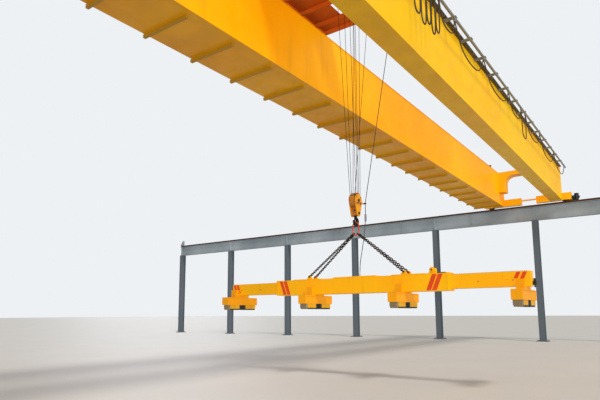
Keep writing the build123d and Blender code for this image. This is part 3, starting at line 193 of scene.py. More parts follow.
def bareMetal(name, tones, values):
    # Steel or iron: mill or casting texture, rust or grease in patches and a bright worn share.
    material, tree, place = blank(name)
    own, patch, shine = (linear(tone) for tone in tones)
    size = values["patchScale"]
    noises = {"patch": (size,), "scuffs": (size * 3, 6.0), "gloss": (size * 5,),
              "grain": (values["grain"], 5.0, 0.55, values["stretch"])}
    ranges = {"patch": ("patch", 0.35, 0.7), "worn": ("scuffs", 0.55, 0.72, 0.0, values["worn"]),
              "top": ("up", 0.9, 0.99, 0.0, values["topShine"]),
              "gloss": ("gloss", 0.3, 0.7, *values["gloss"])}
    fields, shares = layers(tree, place, noises, ranges)
    both = {0: shares["worn"], 1: shares["top"]}
    worn = addNode(tree, "ShaderNodeMath", both, operation="MAXIMUM").outputs[0]
    colour = own
    for share, coat in ((shares["patch"], patch), (worn, shine)):
        colour = addNode(tree, "ShaderNodeMix", {0: share, 6: colour, 7: coat}, data_type="RGBA").outputs[2]
    polish = addNode(tree, "ShaderNodeMath", {0: worn, 1: 0.2}, operation="MULTIPLY").outputs[0]
    rough = addNode(tree, "ShaderNodeMath", {0: shares["gloss"], 1: polish}, operation="SUBTRACT").outputs[0]
    finishMaterial(tree, colour, rough, values["metallic"], fields["grain"], values["depth"])
    return material


def rubber(name, tone, dust, gloss, depth):
    # Cable sheath or moulded plastic: dull with grey dust, and a grain 5 mm across that is coarse to show.
    material, tree, place = blank(name)
    noises = {"dust": (6.0, 6.0), "gloss": (40.0,), "grain": (220.0,)}
    ranges = {"dust": ("dust", 0.45, 0.8, 0.0, dust), "gloss": ("gloss", 0.3, 0.7, *gloss)}
    fields, shares = layers(tree, place, noises, ranges)
    mixed = {0: shares["dust"], 6: linear(tone), 7: linear(colours["dust"])}
    colour = addNode(tree, "ShaderNodeMix", mixed, data_type="RGBA").outputs[2]
    finishMaterial(tree, colour, shares["gloss"], 0.0, fields["grain"], depth)
    return material


def middleOf(node):
    low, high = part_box(node)
    return (low + high) / 2


def lowest(node):
    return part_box(node)[0].z


hookAt = middleOf("crosshead")
hookX, bridgeY = hookAt.x, hookAt.y
sheaveZ = middleOf("block_sheaves").z
beamTop = lowest("spreader_lugs")


def vary(base, **changes):
    return {**base, **changes}


# Some colours here stand in for light: the right girder's lighter yellow and the trolley's lighter ribs are
# painted light; the walkway's ribs, the block's brown cover, the crossbars, the columns and the magnets' end
# are darker for painted shade.
colours = {"girder": "#fcbc02", "girderShade": "#f3a402", "girderGrime": "#8a5f10", "girderLitYellow": "#fccb06",
           "walkwayRibShade": "#a87c16", "trolley": "#cc6418", "trolleyShade": "#b85512", "trolleyRibLit": "#e08c2c",
           "trolleyGrime": "#5a2408", "block": "#a9601f", "blockShade": "#bd8034", "blockGrime": "#4a2a10",
           "cheek": "#eaa31e", "cheekShade": "#d98c1c", "cheekGrime": "#6b4410", "spreader": "#feb302",
           "spreaderGrime": "#8a5c10", "crossbar": "#f0a206", "runway": "#9aa6af", "runwayShade": "#7c8892",
           "runwayGrime": "#5b6266", "column": "#5b656f", "columnShade": "#56616b", "motor": "#1b1d20",
           "motorShade": "#26292d", "motorGrime": "#3a3530", "link": "#d9562a", "linkShade": "#b53c18",
           "magnet": "#eab012", "magnetShade": "#d39c12", "magnetEndShade": "#8a7d60", "pole": "#3c3a30",
           "stripe": "#e8531c", "stripeShade": "#d8481a", "primer": "#8d8a82", "rust": "#7a3d1c",
           "dust": "#a79c88", "dark": "#1a1918"}
# Mill scale and casting skin, 17 mm across and coarser than the real ones so that they show
steel = {"patchScale": 6.0, "worn": 0.4, "topShine": 0.0, "gloss": (0.35, 0.6), "grain": 60.0,
         "stretch": (1, 1, 1), "metallic": 0.85, "depth": 0.0008}
# Each metal's name, its colours by itself, in patches and where it is worn bright, and its changes to steel
metals = {"rail_steel": ("railSteel", ("#5c5550", "#7a3d1c", "#a8a49e"),  # rusty sides under a bright top
                         {"topShine": 0.85, "stretch": (0.05, 0.05, 1)}),
          "wheel_steel": ("wheelSteel", ("#45423f", "#352f2a", "#a8a49e"), {"patchScale": 10.0}),  # dark
          "galvanised": ("galvanisedSteel", ("#a2a5a4", "#868a8a", "#c9cccc"),  # dull zinc
                         {"patchScale": 18.0, "metallic": 0.7, "depth": 0.0004}),
          "rope_steel": ("ropeSteel", ("#2c2825", "#1c1917", "#6a635a"),  # greased wires, nearly black
                         {"patchScale": 30.0, "worn": 0.3, "grain": 400.0, "metallic": 0.6,
                          "depth": 0.0003}),
          "forged_black": ("forgedBlack", ("#1a1918", "#262321", "#575048"),  # skin grey on corners
                           {"patchScale": 14.0, "worn": 0.35, "metallic": 0.5, "depth": 0.0012}),
          "chain_steel": ("chainSteel", ("#2d2724", "#3b2c22", "#6d645a"),  # brown black, rubbed at the links
                          {"patchScale": 20.0, "metallic": 0.7, "depth": 0.0006}),
          "bolt": ("boltSteel", ("#6f6a62", "#57504a", "#b2aca2"), {"patchScale": 40.0, "depth": 0.0003})}
# Each plastic's name, colour, share of dust, range of roughness and depth of its grain
plastics = {"cable_rubber": ("cableRubber", "#131314", 0.35, (0.45, 0.7), 0.0003),  # matt black sheath
            "black_plastic": ("blackPlastic", "#17181a", 0.3, (0.35, 0.6), 0.0002),  # moulded cases
            "festoon": ("festoonRubber", "#33210f", 0.15, (0.6, 0.8), 0.0003),  # old sheath, dark brown
            "leadJoint": ("leadJointPlastic", "#7b7d94", 0.3, (0.4, 0.6), 0.0002),  # grey blue
            "plug": ("plugPlastic", "#c9c6c0", 0.5, (0.4, 0.6), 0.0002)}  # pale and dusty

# Heights of painted levels above the lowest point of their node
levels = {"poles": 0.034, "walkwayRibs": 0.078, "trolleyRibs": 0.02}
# Bands on the magnets and on the block's cable arm: places along X from the hook, and half widths
bands = {"shadowBand": 0.135, "sideAt": 0.56, "side": 0.045, "armAt": 0.31, "arm": 0.1}

# In a paint, a zone is a level in height, the softness of its edge and a colour. It lies below the level,
# and above it where the softness is negative. A band is its middle and half width along X, and a colour
coated = {"toneScale": 0.22, "runScale": 2.6, "runs": 0.3, "under": 0.42, "dust": 0.45, "chipScale": 9.0,
          "chipFrom": 0.745, "gloss": (0.3, 0.55), "wave": 1.3, "depth": 0.004, "specular": 0.25}
girderLook = vary(coated, colour="girder", shade="girderShade", grime="girderGrime", bare="primer",
                  seamPitch=6.9, seamWidth=0.012)
# The trolley's ribs below the level are painted lighter than its deck: painted light.
trolleyLook = vary(coated, colour="trolley", shade="trolleyShade", grime="trolleyGrime", bare="rust",
                   zone=(lowest("trolley_frame") + levels["trolleyRibs"], 0.001, "trolleyRibLit"), toneScale=0.8,
                   runScale=5.0, runs=0.5, under=0.25, chipFrom=0.7, gloss=(0.42, 0.68), wave=4.0,
                   depth=0.003)
motorLook = vary(coated, colour="motor", shade="motorShade", grime="motorGrime", bare="primer", toneScale=3.0,
                 runScale=12.0, chipScale=26.0, chipFrom=0.72, wave=20.0, depth=0.001)
spreaderLook = vary(coated, colour="spreader", shade="girder", grime="spreaderGrime", bare="dark",
                    toneScale=0.9, runScale=7.0, runs=0.55, chipScale=16.0, chipFrom=0.69, wave=6.0,
                    depth=0.002)
# The crossbars take the spreader's paint, deeper and darker below: painted shade from above.
shadedCrossbarLook = vary(spreaderLook, colour="crossbar", shade="girderShade", runScale=9.0, runs=0.6, under=0.6,
                    chipScale=18.0, chipFrom=0.68)
# The magnets' middle band in the pole colour is painted shadow of the beam over the slot between the cases;
# the band near the -X end is painted shade.
magnetLook = vary(coated, colour="magnet", shade="magnetShade", grime="blockGrime", bare="pole",
                  zone=(lowest("inner_magnets") + levels["poles"], 0.001, "pole"),
                  bands=[(hookX, bands["shadowBand"], "pole"),
                         (hookX - bands["sideAt"], bands["side"], "magnetEndShade")],
                  toneScale=2.5, runScale=12.0, runs=0.6, under=0.6, chipScale=22.0, chipFrom=0.62, wave=14.0,
                  depth=0.0015)
stripeLook = vary(coated, colour="stripe", shade="stripeShade", grime="spreaderGrime", bare="spreader",
                  toneScale=3.0, runScale=10.0, runs=0.35, chipScale=30.0, chipFrom=0.68, wave=8.0,
                  depth=0.0008)
# The cover's dark brown is partly painted shade; the cheeks take their own yellow.
blockLook = vary(coated, colour="block", shade="blockShade", grime="blockGrime", bare="dark",
                 bands=[(hookX + bands["armAt"], bands["arm"], "dark")], toneScale=4.0, runScale=9.0,
                 runs=0.9, chipScale=30.0, chipFrom=0.66, wave=16.0, depth=0.0012)
linkLook = vary(coated, colour="link", shade="linkShade", grime="dark", bare="dark", toneScale=8.0,
                runScale=24.0, chipScale=40.0, chipFrom=0.62, wave=40.0, depth=0.0008)
runwayLook = vary(coated, colour="runway", shade="runwayShade", grime="runwayGrime", bare="rust",
                  toneScale=0.3, runs=0.5, under=0.35, chipFrom=0.73, gloss=(0.4, 0.65), depth=0.004)
# What each finish gives the eye stands behind it
paints = {
    "girder_paint": ("girderEnamel", girderLook),  # warm amber with faint runs, and a weld every 6.9 m
    "girderLit": ("litGirderEnamel", vary(  # the same, lighter and yellower as painted light on the right girder
        girderLook, colour="girderLitYellow", shade="girder")),
    "walkway": ("walkwayEnamel", vary(  # amber above, and ribs below painted darker as painted shade
        girderLook, zone=(lowest("walkway") + levels["walkwayRibs"], 0.001, "walkwayRibShade"))),
    "trolley_paint": ("trolleyEnamel", trolleyLook),  # dull orange, greasy and streaked, with its ribs painted lighter as painted light
    "motor_paint": ("motorEnamel", motorLook),  # black castings that catch little light
    "spreader_paint": ("spreaderEnamel", spreaderLook),  # bright amber, scuffed down to dark steel
    "rackArm": ("rackArmEnamel", vary(  # the same, with the rack on top left dark
        spreaderLook, zone=(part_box("left_arm")[1].z + 0.001, -0.0005, "dark"))),
    "crossbar": ("shadedCrossbarEnamel", shadedCrossbarLook),  # deeper amber and darker below: painted shade from above
    "magnet_grey": ("magnetEnamel", magnetLook),  # yellow cases over dark pole shoes
    "stripe": ("stripeEnamel", stripeLook),  # flat orange-red, thin enough to wear through
    "block_paint": ("blockEnamel", blockLook),  # dark brown, partly painted shade on the cover, with yellow left in patches
    "cheek": ("cheekEnamel", vary(blockLook, colour="cheek", shade="cheekShade", grime="cheekGrime",
                                  runScale=14.0, runs=0.7)),  # clean yellow beside the brown cover
    "link_red": ("linkEnamel", linkLook),  # red that is rubbed black where the links bear
    "runway_paint": ("runwayEnamel", runwayLook),  # blue grey with rust in its chips
    "column": ("shadedColumnEnamel", vary(runwayLook, colour="column", shade="columnShade")),  # darker grey: painted shade, with the runway's paint
}

materials = {slot: enamel(name, values) for slot, (name, values) in paints.items()}
materials.update({slot: bareMetal(name, tones, {**steel, **changes})
                  for slot, (name, tones, changes) in metals.items()})
materials.update({slot: rubber(*values) for slot, values in plastics.items()})
slotOf = {part["node"]: part["material_slot"] for part in frame["record"]["subparts"]}
special = {"walkway": "walkway", "right_girder": "girderLit", "far_columns": "column",
           "near_columns": "column", "block_cheeks": "cheek", "right_arm": "rackArm",
           "festoon_cable": "festoon", "left_crossbar": "crossbar", "right_crossbar": "crossbar",
           "inner_crossbars": "crossbar"}
for nodeName, nodeObject in nodes.items():
    nodeObject.data.materials.clear()
    nodeObject.data.materials.append(materials[special.get(nodeName, slotOf[nodeName])])
print("materials:", len(materials))


def newObject(name, data):
    made = bpy.data.objects.new(name, data)
    bpy.context.scene.collection.objects.link(made)
    return made


def meshPiece(name, mesh, body, material):
    # A mesh made into a piece of the object that rides on a body.
    piece = newObject(name, mesh)
    piece.data.materials.append(materials[material])
    if body:
        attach(piece, body)
    return piece


def meshFrom(name, points, faces, smooth=False):
    mesh = bpy.data.meshes.new(name)
    mesh.from_pydata([tuple(p) for p in points], [], faces)
    mesh.validate()
    for face in mesh.polygons:
        face.use_smooth = smooth
    mesh.update()
    return mesh


# Shares of a bolt's radius and height: its washer's width and height, its bevel and the top inside the bevel
head = {"washer": 1.45, "seat": 0.22, "bevel": 0.12, "top": 0.82, "washerSides": 16, "sides": 6}
# Radius and height of each bolt's head
bolts = {"anchor": (0.03, 0.05), "clip": (0.011, 0.022), "cap": (0.009, 0.012), "bracket": (0.009, 0.01),
         "screw": (0.009, 0.008), "plate": (0.014, 0.014), "gearbox": (0.014, 0.016), "hub": (0.005, 0.006)}


def meshOf(name, made):
    mesh = bpy.data.meshes.new(name)
    made.to_mesh(mesh)
    made.free()
    return mesh


def boltMesh(kind):
    # A bolt's head with a bevelled top on a round washer, standing along +Z.
    radius, height = bolts[kind]
    made = bmesh.new()
    seat, bevel = height * head["seat"], height * head["bevel"]
    for size, low, high, count in ((radius * head["washer"], 0.0, seat, head["washerSides"]),
                                   (radius, seat, height, head["sides"])):
        rings = [[made.verts.new((a, b, z)) for a, b in roundSection(size * scale, count)]
                 for scale, z in ((1.0, low), (1.0, high - bevel), (head["top"], high))]
        for lower, upper in zip(rings, rings[1:]):
            for i in range(count):
                made.faces.new((lower[i], lower[(i + 1) % count], upper[(i + 1) % count], upper[i]))
        made.faces.new(rings[-1])
    return meshOf(kind + "Bolt", made)


def turnTo(axis):
    # The turn that stands a piece made along +Z on a face that looks along an axis such as +X or -Y.
    half = math.pi / 2
    return {"+z": (0, 0, 0), "-z": (math.pi, 0, 0), "+x": (0, half, 0), "-x": (0, -half, 0),
            "+y": (-half, 0, 0), "-y": (half, 0, 0)}[axis]


# How many flat faces go round each turned or swept piece
facets = {"cable": 12, "festoon": 10, "tray": 8, "plug": 20, "hub": 24, "gland": 16}


def tubeFaces(first, rings, count):
    # Faces that join each ring of points to the next and close both ends.
    faces = []
    for i in range(rings - 1):
        for k in range(count):
            a, b = first + i * count + k, first + i * count + (k + 1) % count
            faces.append((a, b, b + count, a + count))
    faces.append(tuple(first + k for k in reversed(range(count))))
    faces.append(tuple(first + (rings - 1) * count + k for k in range(count)))
    return faces


def turnedMesh(name, outline, sides, centre, turn, smooth=False):
    # A turned shape from (radius, height) points, stood at a place with a turn.
    points = [(a, b, z) for radius, z in outline for a, b in roundSection(radius, sides)]
    spin = Euler(turn).to_matrix()
    return meshFrom(name, [Vector(centre) + spin @ Vector(p) for p in points],
                    tubeFaces(0, len(outline), sides), smooth)


def evaluatedMesh(holder):
    depsgraph = bpy.context.evaluated_depsgraph_get()
    return bpy.data.meshes.new_from_object(holder.evaluated_get(depsgraph), depsgraph=depsgraph)


def scatter(name, spots, item, body, material):
    # One piece made of copies of a small mesh, placed by Geometry Nodes at (place, turn) spots.
    points = bpy.data.meshes.new(name + "Points")
    points.from_pydata([tuple(place) for place, turn in spots], [], [])
    turns = points.attributes.new("turn", "FLOAT_VECTOR", "POINT")
    turns.data.foreach_set("vector", [a for place, turn in spots for a in turn])
    carrier = newObject(name + "Carrier", points)
    source = newObject(name + "Item", item)
    tree = bpy.data.node_groups.new(name + "Nodes", "GeometryNodeTree")
    tree.interface.new_socket("Points", in_out="INPUT", socket_type="NodeSocketGeometry")
    tree.interface.new_socket("Item", in_out="INPUT", socket_type="NodeSocketObject")
    tree.interface.new_socket("Copies", in_out="OUTPUT", socket_type="NodeSocketGeometry")
    entry = addNode(tree, "NodeGroupInput")
    one = addNode(tree, "GeometryNodeObjectInfo", {"Object": entry.outputs[1]})
    turned = addNode(tree, "GeometryNodeInputNamedAttribute", {"Name": "turn"}, data_type="FLOAT_VECTOR")
    copies = addNode(tree, "GeometryNodeInstanceOnPoints", {
        "Points": entry.outputs[0], "Instance": one.outputs["Geometry"], "Rotation": turned.outputs[0]})
    real = addNode(tree, "GeometryNodeRealizeInstances", {0: copies.outputs[0]})
    dressed = addNode(tree, "GeometryNodeSetMaterial", {
        "Geometry": real.outputs[0], "Material": materials[material]})
    addNode(tree, "NodeGroupOutput", {0: dressed.outputs[0]})
    modifier = carrier.modifiers.new("copies", "NODES")
    modifier.node_group = tree
    socket = [s for s in tree.interface.items_tree if s.name == "Item"][0].identifier
    modifier[socket] = source
    bpy.context.view_layer.update()
    mesh = evaluatedMesh(carrier)
    mesh.name = name
    for attribute in [a for a in mesh.attributes if a.name == "turn"]:
        mesh.attributes.remove(attribute)
    carrier.modifiers.remove(modifier)
    bpy.data.objects.remove(carrier)
    bpy.data.objects.remove(source)
    mesh.materials.clear()
    return meshPiece(name, mesh, body, material)


slabFaces = [(0, 1, 3, 2), (4, 6, 7, 5), (0, 4, 5, 1), (2, 3, 7, 6), (0, 2, 6, 4), (1, 5, 7, 3)]


def slabs(name, corners, body, material, bevel):
    # Plates given by their low and high corners, as one piece with slightly rounded edges.
    made = bmesh.new()
    for low, high in corners:
        verts = [made.verts.new((x, y, z)) for x in (low[0], high[0]) for y in (low[1], high[1])
                 for z in (low[2], high[2])]
        for face in slabFaces:
            made.faces.new([verts[i] for i in face])
    bmesh.ops.recalc_face_normals(made, faces=made.faces)
    bmesh.ops.bevel(made, geom=made.edges[:], offset=bevel, segments=2, affect="EDGES", profile=0.6)
    return meshPiece(name, meshOf(name, made), body, material)


def straight(start, end, step):
    count = max(2, int((Vector(end) - Vector(start)).length / step))
    return [Vector(start).lerp(Vector(end), i / count) for i in range(count + 1)]


def arc(centre, radius, first, last, y0, y1, step):
    # Points on a turn about the Y axis, from angle first to last in degrees, moving from y0 to y1.
    count = max(8, int(abs(math.radians(last - first)) * radius / step))
    points = []
    for i in range(count + 1):
        angle = math.radians(first + (last - first) * i / count)
        points.append(Vector((centre[0] + radius * math.cos(angle), y0 + (y1 - y0) * i / count,
                              centre[1] + radius * math.sin(angle))))
    return points


def sweptPoints(spine, section, twist):
    # Rings of a section along a spine; each ring is turned by its own angle.
    side = Vector((0, 1, 0)) if abs((spine[1] - spine[0]).normalized().y) < 0.8 else Vector((1, 0, 0))
    rings = []
    gone = 0.0
    for i, place in enumerate(spine):
        ahead = (spine[min(i + 1, len(spine) - 1)] - spine[max(i - 1, 0)]).normalized()
        side = (side - ahead * side.dot(ahead)).normalized()
        other = ahead.cross(side)
        if i:
            gone += (place - spine[i - 1]).length
        turn = 2 * math.pi * gone / twist if twist else 0.0
        rings.append([place + side * (a * math.cos(turn) - b * math.sin(turn)) +
                      other * (a * math.sin(turn) + b * math.cos(turn)) for a, b in section])
    return rings


def sweptMesh(name, spines, section, twist=0.0):
    points, faces = [], []
    for spine in spines:
        faces += tubeFaces(len(points), len(spine), len(section))
        for ring in sweptPoints(spine, section, twist):
            points += ring
    return meshFrom(name, points, faces, True)


def roundSection(radius, sides):
    return [(radius * math.cos(2 * math.pi * i / sides), radius * math.sin(2 * math.pi * i / sides))
            for i in range(sides)]


ropes = {"radius": 0.007, "lay": 0.09, "step": 0.018, "sheave": 0.15, "pitch": 0.04, "upperAside": 0.15,
         "upperRadius": 0.17, "drumAhead": 0.13, "drumAside": 0.536, "drumRadius": 0.2573, "windings": 9,
         "windingPitch": 0.017, "windingStep": 0.03, "strands": 6, "valley": 0.8}


def ropeSection():
    # The outline of a rope laid from strands: full at each strand and drawn in between them.
    corners = roundSection(ropes["radius"], 2 * ropes["strands"])
    valley = ropes["valley"]
    return [(a * valley, b * valley) if i % 2 else (a, b) for i, (a, b) in enumerate(corners)]


def hoistRopes():
    # The eight falls, their turns on the sheaves and the windings on the drum.
    r, pitch, aside = ropes["sheave"], ropes["pitch"], ropes["upperAside"]
    x, y = hookX, bridgeY
    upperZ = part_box("upper_sheaves")[1].z - ropes["upperRadius"]
    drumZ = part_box("drum_ropes")[1].z
    section = ropeSection()
    falls, drumFalls, blockTurns, upperTurns, windings = [], [], [], [], []
    for side in (-1, 1):
        outer, inner = side * pitch * 1.5, side * pitch / 2
        for dx, y0, y1 in ((r, outer, side * aside), (-r, inner, side * aside), (r, inner, inner)):
            falls.append(straight((x + dx, y + y0, sheaveZ), (x + dx, y + y1, upperZ), ropes["step"]))
        drumEnd = (x + ropes["drumAhead"], y + side * ropes["drumAside"], drumZ)
        drumFalls.append(straight((x - r, y + outer, sheaveZ), drumEnd, ropes["step"]))
        for place in (outer, inner):
            blockTurns.append(arc((x, sheaveZ), r, 180, 360, y + place, y + place, ropes["step"]))
        upperTurns.append(arc((x, upperZ), r, 0, 180, y + side * aside, y + side * aside, ropes["step"]))
        drumX = x + ropes["drumAhead"] - ropes["drumRadius"]
        start = y + side * ropes["drumAside"]
        windings.append(arc((drumX, drumZ), ropes["drumRadius"], 0, 360 * ropes["windings"], start,
                            start + side * ropes["windings"] * ropes["windingPitch"], ropes["windingStep"]))
    for name, spines, body in (("hoistFalls", falls, None), ("drumFalls", drumFalls, None),
                               ("blockTurns", blockTurns, "hook_block"),
                               ("upperTurns", upperTurns, "trolley"), ("drumWindings", windings, "trolley")):
        piece = meshPiece(name, sweptMesh(name, spines, section, ropes["lay"]), body, "rope_steel")
        if body is None:
            top = upperZ if name == "hoistFalls" else drumZ
            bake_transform(piece, "trolley", "hook_block", start=(x, y, top), end=(x, y, sheaveZ))
            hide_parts("hoist_ropes" if name == "hoistFalls" else "drum_ropes")


def splinePoints(points, resolution=10):
    # The points that a NURBS curve of order 3 follows between given control points.
    curve = bpy.data.curves.new("line", "CURVE")
    curve.dimensions = "3D"
    curve.resolution_u = resolution
    spline = curve.splines.new("NURBS")
    spline.points.add(len(points) - 1)
    for point, place in zip(spline.points, points):
        point.co = (*place, 1.0)
    spline.order_u = 3
    spline.use_endpoint_u = True
    holder = newObject("line", curve)
    mesh = evaluatedMesh(holder)
    line = [v.co.copy() for v in mesh.vertices]
    bpy.data.objects.remove(holder)
    bpy.data.meshes.remove(mesh)
    return line


lead = {"radius": 0.009, "out": 0.24, "aside": 0.16, "stiff": 0.15, "straight": 0.42, "back": 0.14,
        "swing": 0.12, "slack": 0.01, "highBend": 0.85, "midBend": 0.42, "lowBend": 0.2, "sunk": 0.002,
        "jointDown": 0.26}
reel = {"radius": 0.28, "coreRadius": 0.232, "aside": 0.63, "turns": 6, "pitch": 2.02, "cable": 0.009,
        "lift": 0.0003, "step": 0.06}
# How far a cord's end reaches into what holds it
grip = 0.001


def magnetCable():
    # The taut cable from the block's clamp up to the reel, and its turns on the reel.
    foot = Vector((hookX + lead["out"], bridgeY - lead["aside"], lowest("magnet_cable") + grip))
    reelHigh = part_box("cable_reel")[1]
    centre = Vector((reelHigh.x - reel["radius"], 0, reelHigh.z - reel["radius"]))
    radius = reel["coreRadius"] + reel["cable"] + reel["lift"]
    across, up = centre.x - foot.x, centre.z - foot.z
    lean = math.atan2(across, up) + math.asin(radius / math.hypot(across, up))
    reelY = bridgeY - reel["aside"]
    head = Vector((centre.x + radius * math.cos(lean), reelY, centre.z - radius * math.sin(lean)))
    line = splinePoints([foot, (foot + head) / 2, head])
    section = roundSection(lead["radius"], facets["cable"])
    piece = meshPiece("magnetCable", sweptMesh("magnetCable", [line], section), None, "cable_rubber")
    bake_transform(piece, "trolley", "hook_block", start=tuple(head), end=tuple(foot))
    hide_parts("magnet_cable")
    first = -math.degrees(lean)
    turns = []
    for i in range(reel["turns"]):
        place = reelY + (i - (reel["turns"] - 1) / 2) * reel["pitch"] * reel["cable"]
        turns.append(arc((centre.x, centre.z), radius, first, first + 360, place, place, reel["step"]))
    meshPiece("reelTurns", sweptMesh("reelTurns", turns, section), "trolley", "cable_rubber")


def magnetLead():
    # The lead from the clamp down to its plug on the spreader's saddle.
    low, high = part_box("magnet_lead")
    x, y = hookX + lead["out"], bridgeY - lead["aside"]
    footX, footY = x - lead["back"], y + lead["swing"]
    half, slack = lead["swing"] / 2, lead["slack"]
    points = [(x, y, high.z), (x, y, high.z - lead["stiff"]), (x, y, high.z - lead["straight"]),
              (footX + half + slack, y + half - slack, beamTop + lead["highBend"]),
              (footX + slack, footY - slack, beamTop + lead["midBend"]),
              (footX, footY, beamTop + lead["lowBend"]), (footX, footY, low.z + lead["sunk"])]
    line = splinePoints(points)
    mesh = sweptMesh("magnetLead", [line], roundSection(lead["radius"], facets["cable"]))
    piece = meshPiece("magnetLead", mesh, None, "cable_rubber")
    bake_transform(piece, "hook_block", "spreader", start=points[0], end=points[-1])
    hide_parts("magnet_lead")
    plug = plugPiece((footX, footY, low.z))
    joint = jointPiece(Vector(points[0]) - Vector((0, 0, lead["jointDown"])))
    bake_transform(joint, "hook_block", "spreader", start=points[0], end=points[-1])


# Radius and height at each point of an outline that is turned about its axis
plugOutline = [(0.034, 0.0), (0.034, 0.012), (0.026, 0.016), (0.026, 0.03), (0.029, 0.034), (0.026, 0.038),
               (0.026, 0.05), (0.029, 0.054), (0.026, 0.058), (0.024, 0.075), (0.014, 0.1), (0.0115, 0.13)]
jointOutline = [(0.012, -0.2), (0.027, -0.19), (0.027, -0.11), (0.031, -0.105), (0.031, -0.095),
                (0.027, -0.09), (0.027, -0.01), (0.012, 0.0)]


def plugPiece(foot):
    # A round plug on the saddle: flange, ribbed grip and a tapered neck round the lead.
    mesh = turnedMesh("leadPlug", plugOutline, facets["plug"], foot, turnTo("+z"), True)
    return meshPiece("leadPlug", mesh, "spreader", "plug")


def jointPiece(top):
    # The joint in the lead: two grips with a ring between them.
    mesh = turnedMesh("leadJoint", jointOutline, facets["plug"], top, turnTo("+z"))
    return meshPiece("leadJoint", mesh, None, "leadJoint")


# In each loop, bulge and foot are shares of half its width, neck of the bulge, and shoulder of its sag
festoon = {"radius": 0.018, "side": 0.024, "endGap": 0.5, "bulge": 0.42, "neck": 0.3, "foot": 0.05,
           "shoulder": 0.55, "mostShoulder": 0.5,
           "spaces": [3.1, 3.4, 2.85, 0.7, 1.95, 3.1, 2.7, 1.2, 0.3, 0.3, 0.3, 0.35, 0.4],
           "sags": [0.62, 0.7, 0.64, 1.05, 0.56, 0.64, 0.7, 0.52, 0.95, 1.12, 1.0, 1.15, 1.05]}


def festoonLoops():
    # Each loop hangs between two carriers, lowest in its middle.
    y = middleOf("festoon_carriers").y
    foot = lowest("festoon_carriers") - grip
    places = [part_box("festoon_track")[1].x - festoon["endGap"]]
    for space in festoon["spaces"]:
        places.append(places[-1] - space)
    section = roundSection(festoon["radius"], facets["festoon"])
    for i, (right, left, sag) in enumerate(zip(places, places[1:], festoon["sags"])):
        a, b = left + festoon["side"], right - festoon["side"]
        half = (b - a) / 2
        drop = sag * min(festoon["mostShoulder"], sag / half * festoon["shoulder"])
        inward = 0.0 if sag > half else half * festoon["bulge"]
        neck, end = inward * festoon["neck"], inward + half * festoon["foot"]
        points = [(a, y, foot), (a + neck, y, foot - drop), (a + end, y, foot - sag),
                  (b - end, y, foot - sag), (b - neck, y, foot - drop), (b, y, foot)]
        line = splinePoints(points)
        name = f"festoonLoop{i}"
        piece = meshPiece(name, sweptMesh(name, [line], section), "bridge", "festoon")
    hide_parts("festoon_cable")


magnetCable()
magnetLead()
festoonLoops()
hoistRopes()
print("cords and ropes made")


beam = {"half": 0.165, "collarHalf": 0.175, "armHalf": 0.12}
# Slanted stripes: foot and head along Y from the hook, foot and head heights, and width along Y
stripes = {"proud": 0.0006, "thick": 0.0012,
           "spreader": [(2.15, 2.285, 2.115, 2.485, 0.105), (2.02, 2.15, 2.115, 2.485, 0.11),
                        (-1.95, -2.1, 2.115, 2.485, 0.115), (-2.085, -2.24, 2.115, 2.485, 0.115)],
           "left_arm": [(3.97, 4.06, 2.2, 2.445, 0.08), (3.855, 3.945, 2.2, 2.445, 0.08)],
           "right_arm": [(-3.83, -3.895, 2.31, 2.445, 0.085), (-3.945, -4.02, 2.275, 2.445, 0.085)]}
stripeFaces = [(4, 5, 6, 7), (3, 2, 1, 0), (0, 1, 5, 4), (1, 2, 6, 5), (2, 3, 7, 6), (3, 0, 4, 7)]


def spreaderStripes():
    # Slanted stripes on both sides of the beam and the arms.
    for body, node in (("spreader", "spreader_beam"), ("left_arm", "left_arm"), ("right_arm", "right_arm")):
        low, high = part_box(node)
        half = beam["half"] if body == "spreader" else (high.x - low.x) / 2
        points, faces = [], []
        for foot, head, z0, z1, width in stripes[body]:
            for face in (-1, 1):
                inner = hookX + face * (half + stripes["proud"])
                outer = inner + face * stripes["thick"]
                first = len(points)
                for x in (inner, outer):
                    points += [(x, bridgeY + foot - width / 2, z0), (x, bridgeY + foot + width / 2, z0),
                               (x, bridgeY + head + width / 2, z1), (x, bridgeY + head - width / 2, z1)]
                faces += [tuple(first + k for k in quad[::face]) for quad in stripeFaces]
        mesh = meshFrom(body + "Stripes", points, faces)
        meshPiece(body + "Stripes", mesh, body, "stripe")


spreaderStripes()


bases = {"count": 7, "pitch": 6.0, "half": 0.31, "anchorAside": 0.23, "thick": 0.035}


def anchorBolts():
    # Four nuts on each column's base plate.
    for side, node in (("far", "far_columns"), ("near", "near_columns")):
        middle, first = middleOf(node).x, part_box(node)[0].y + bases["half"]
        aside = (-bases["anchorAside"], bases["anchorAside"])
        spots = [((middle + dx, first + i * bases["pitch"] + dy, bases["thick"]), turnTo("+z"))
                 for i in range(bases["count"]) for dx in aside for dy in aside]
        scatter(side + "AnchorNuts", spots, boltMesh("anchor"), "runway", "bolt")


# A clip's outline and its bolt's place are shares of its length and thickness
clips = {"pitch": 0.75, "length": 0.07, "width": 0.05, "thick": 0.014, "seat": 0.3, "bolt": (0.22, 1.1),
         "outline": [(-0.5, 0), (0.5, 0), (0.5, 1), (0.05, 1.2), (-0.25, 1.9), (-0.5, 1.9)]}


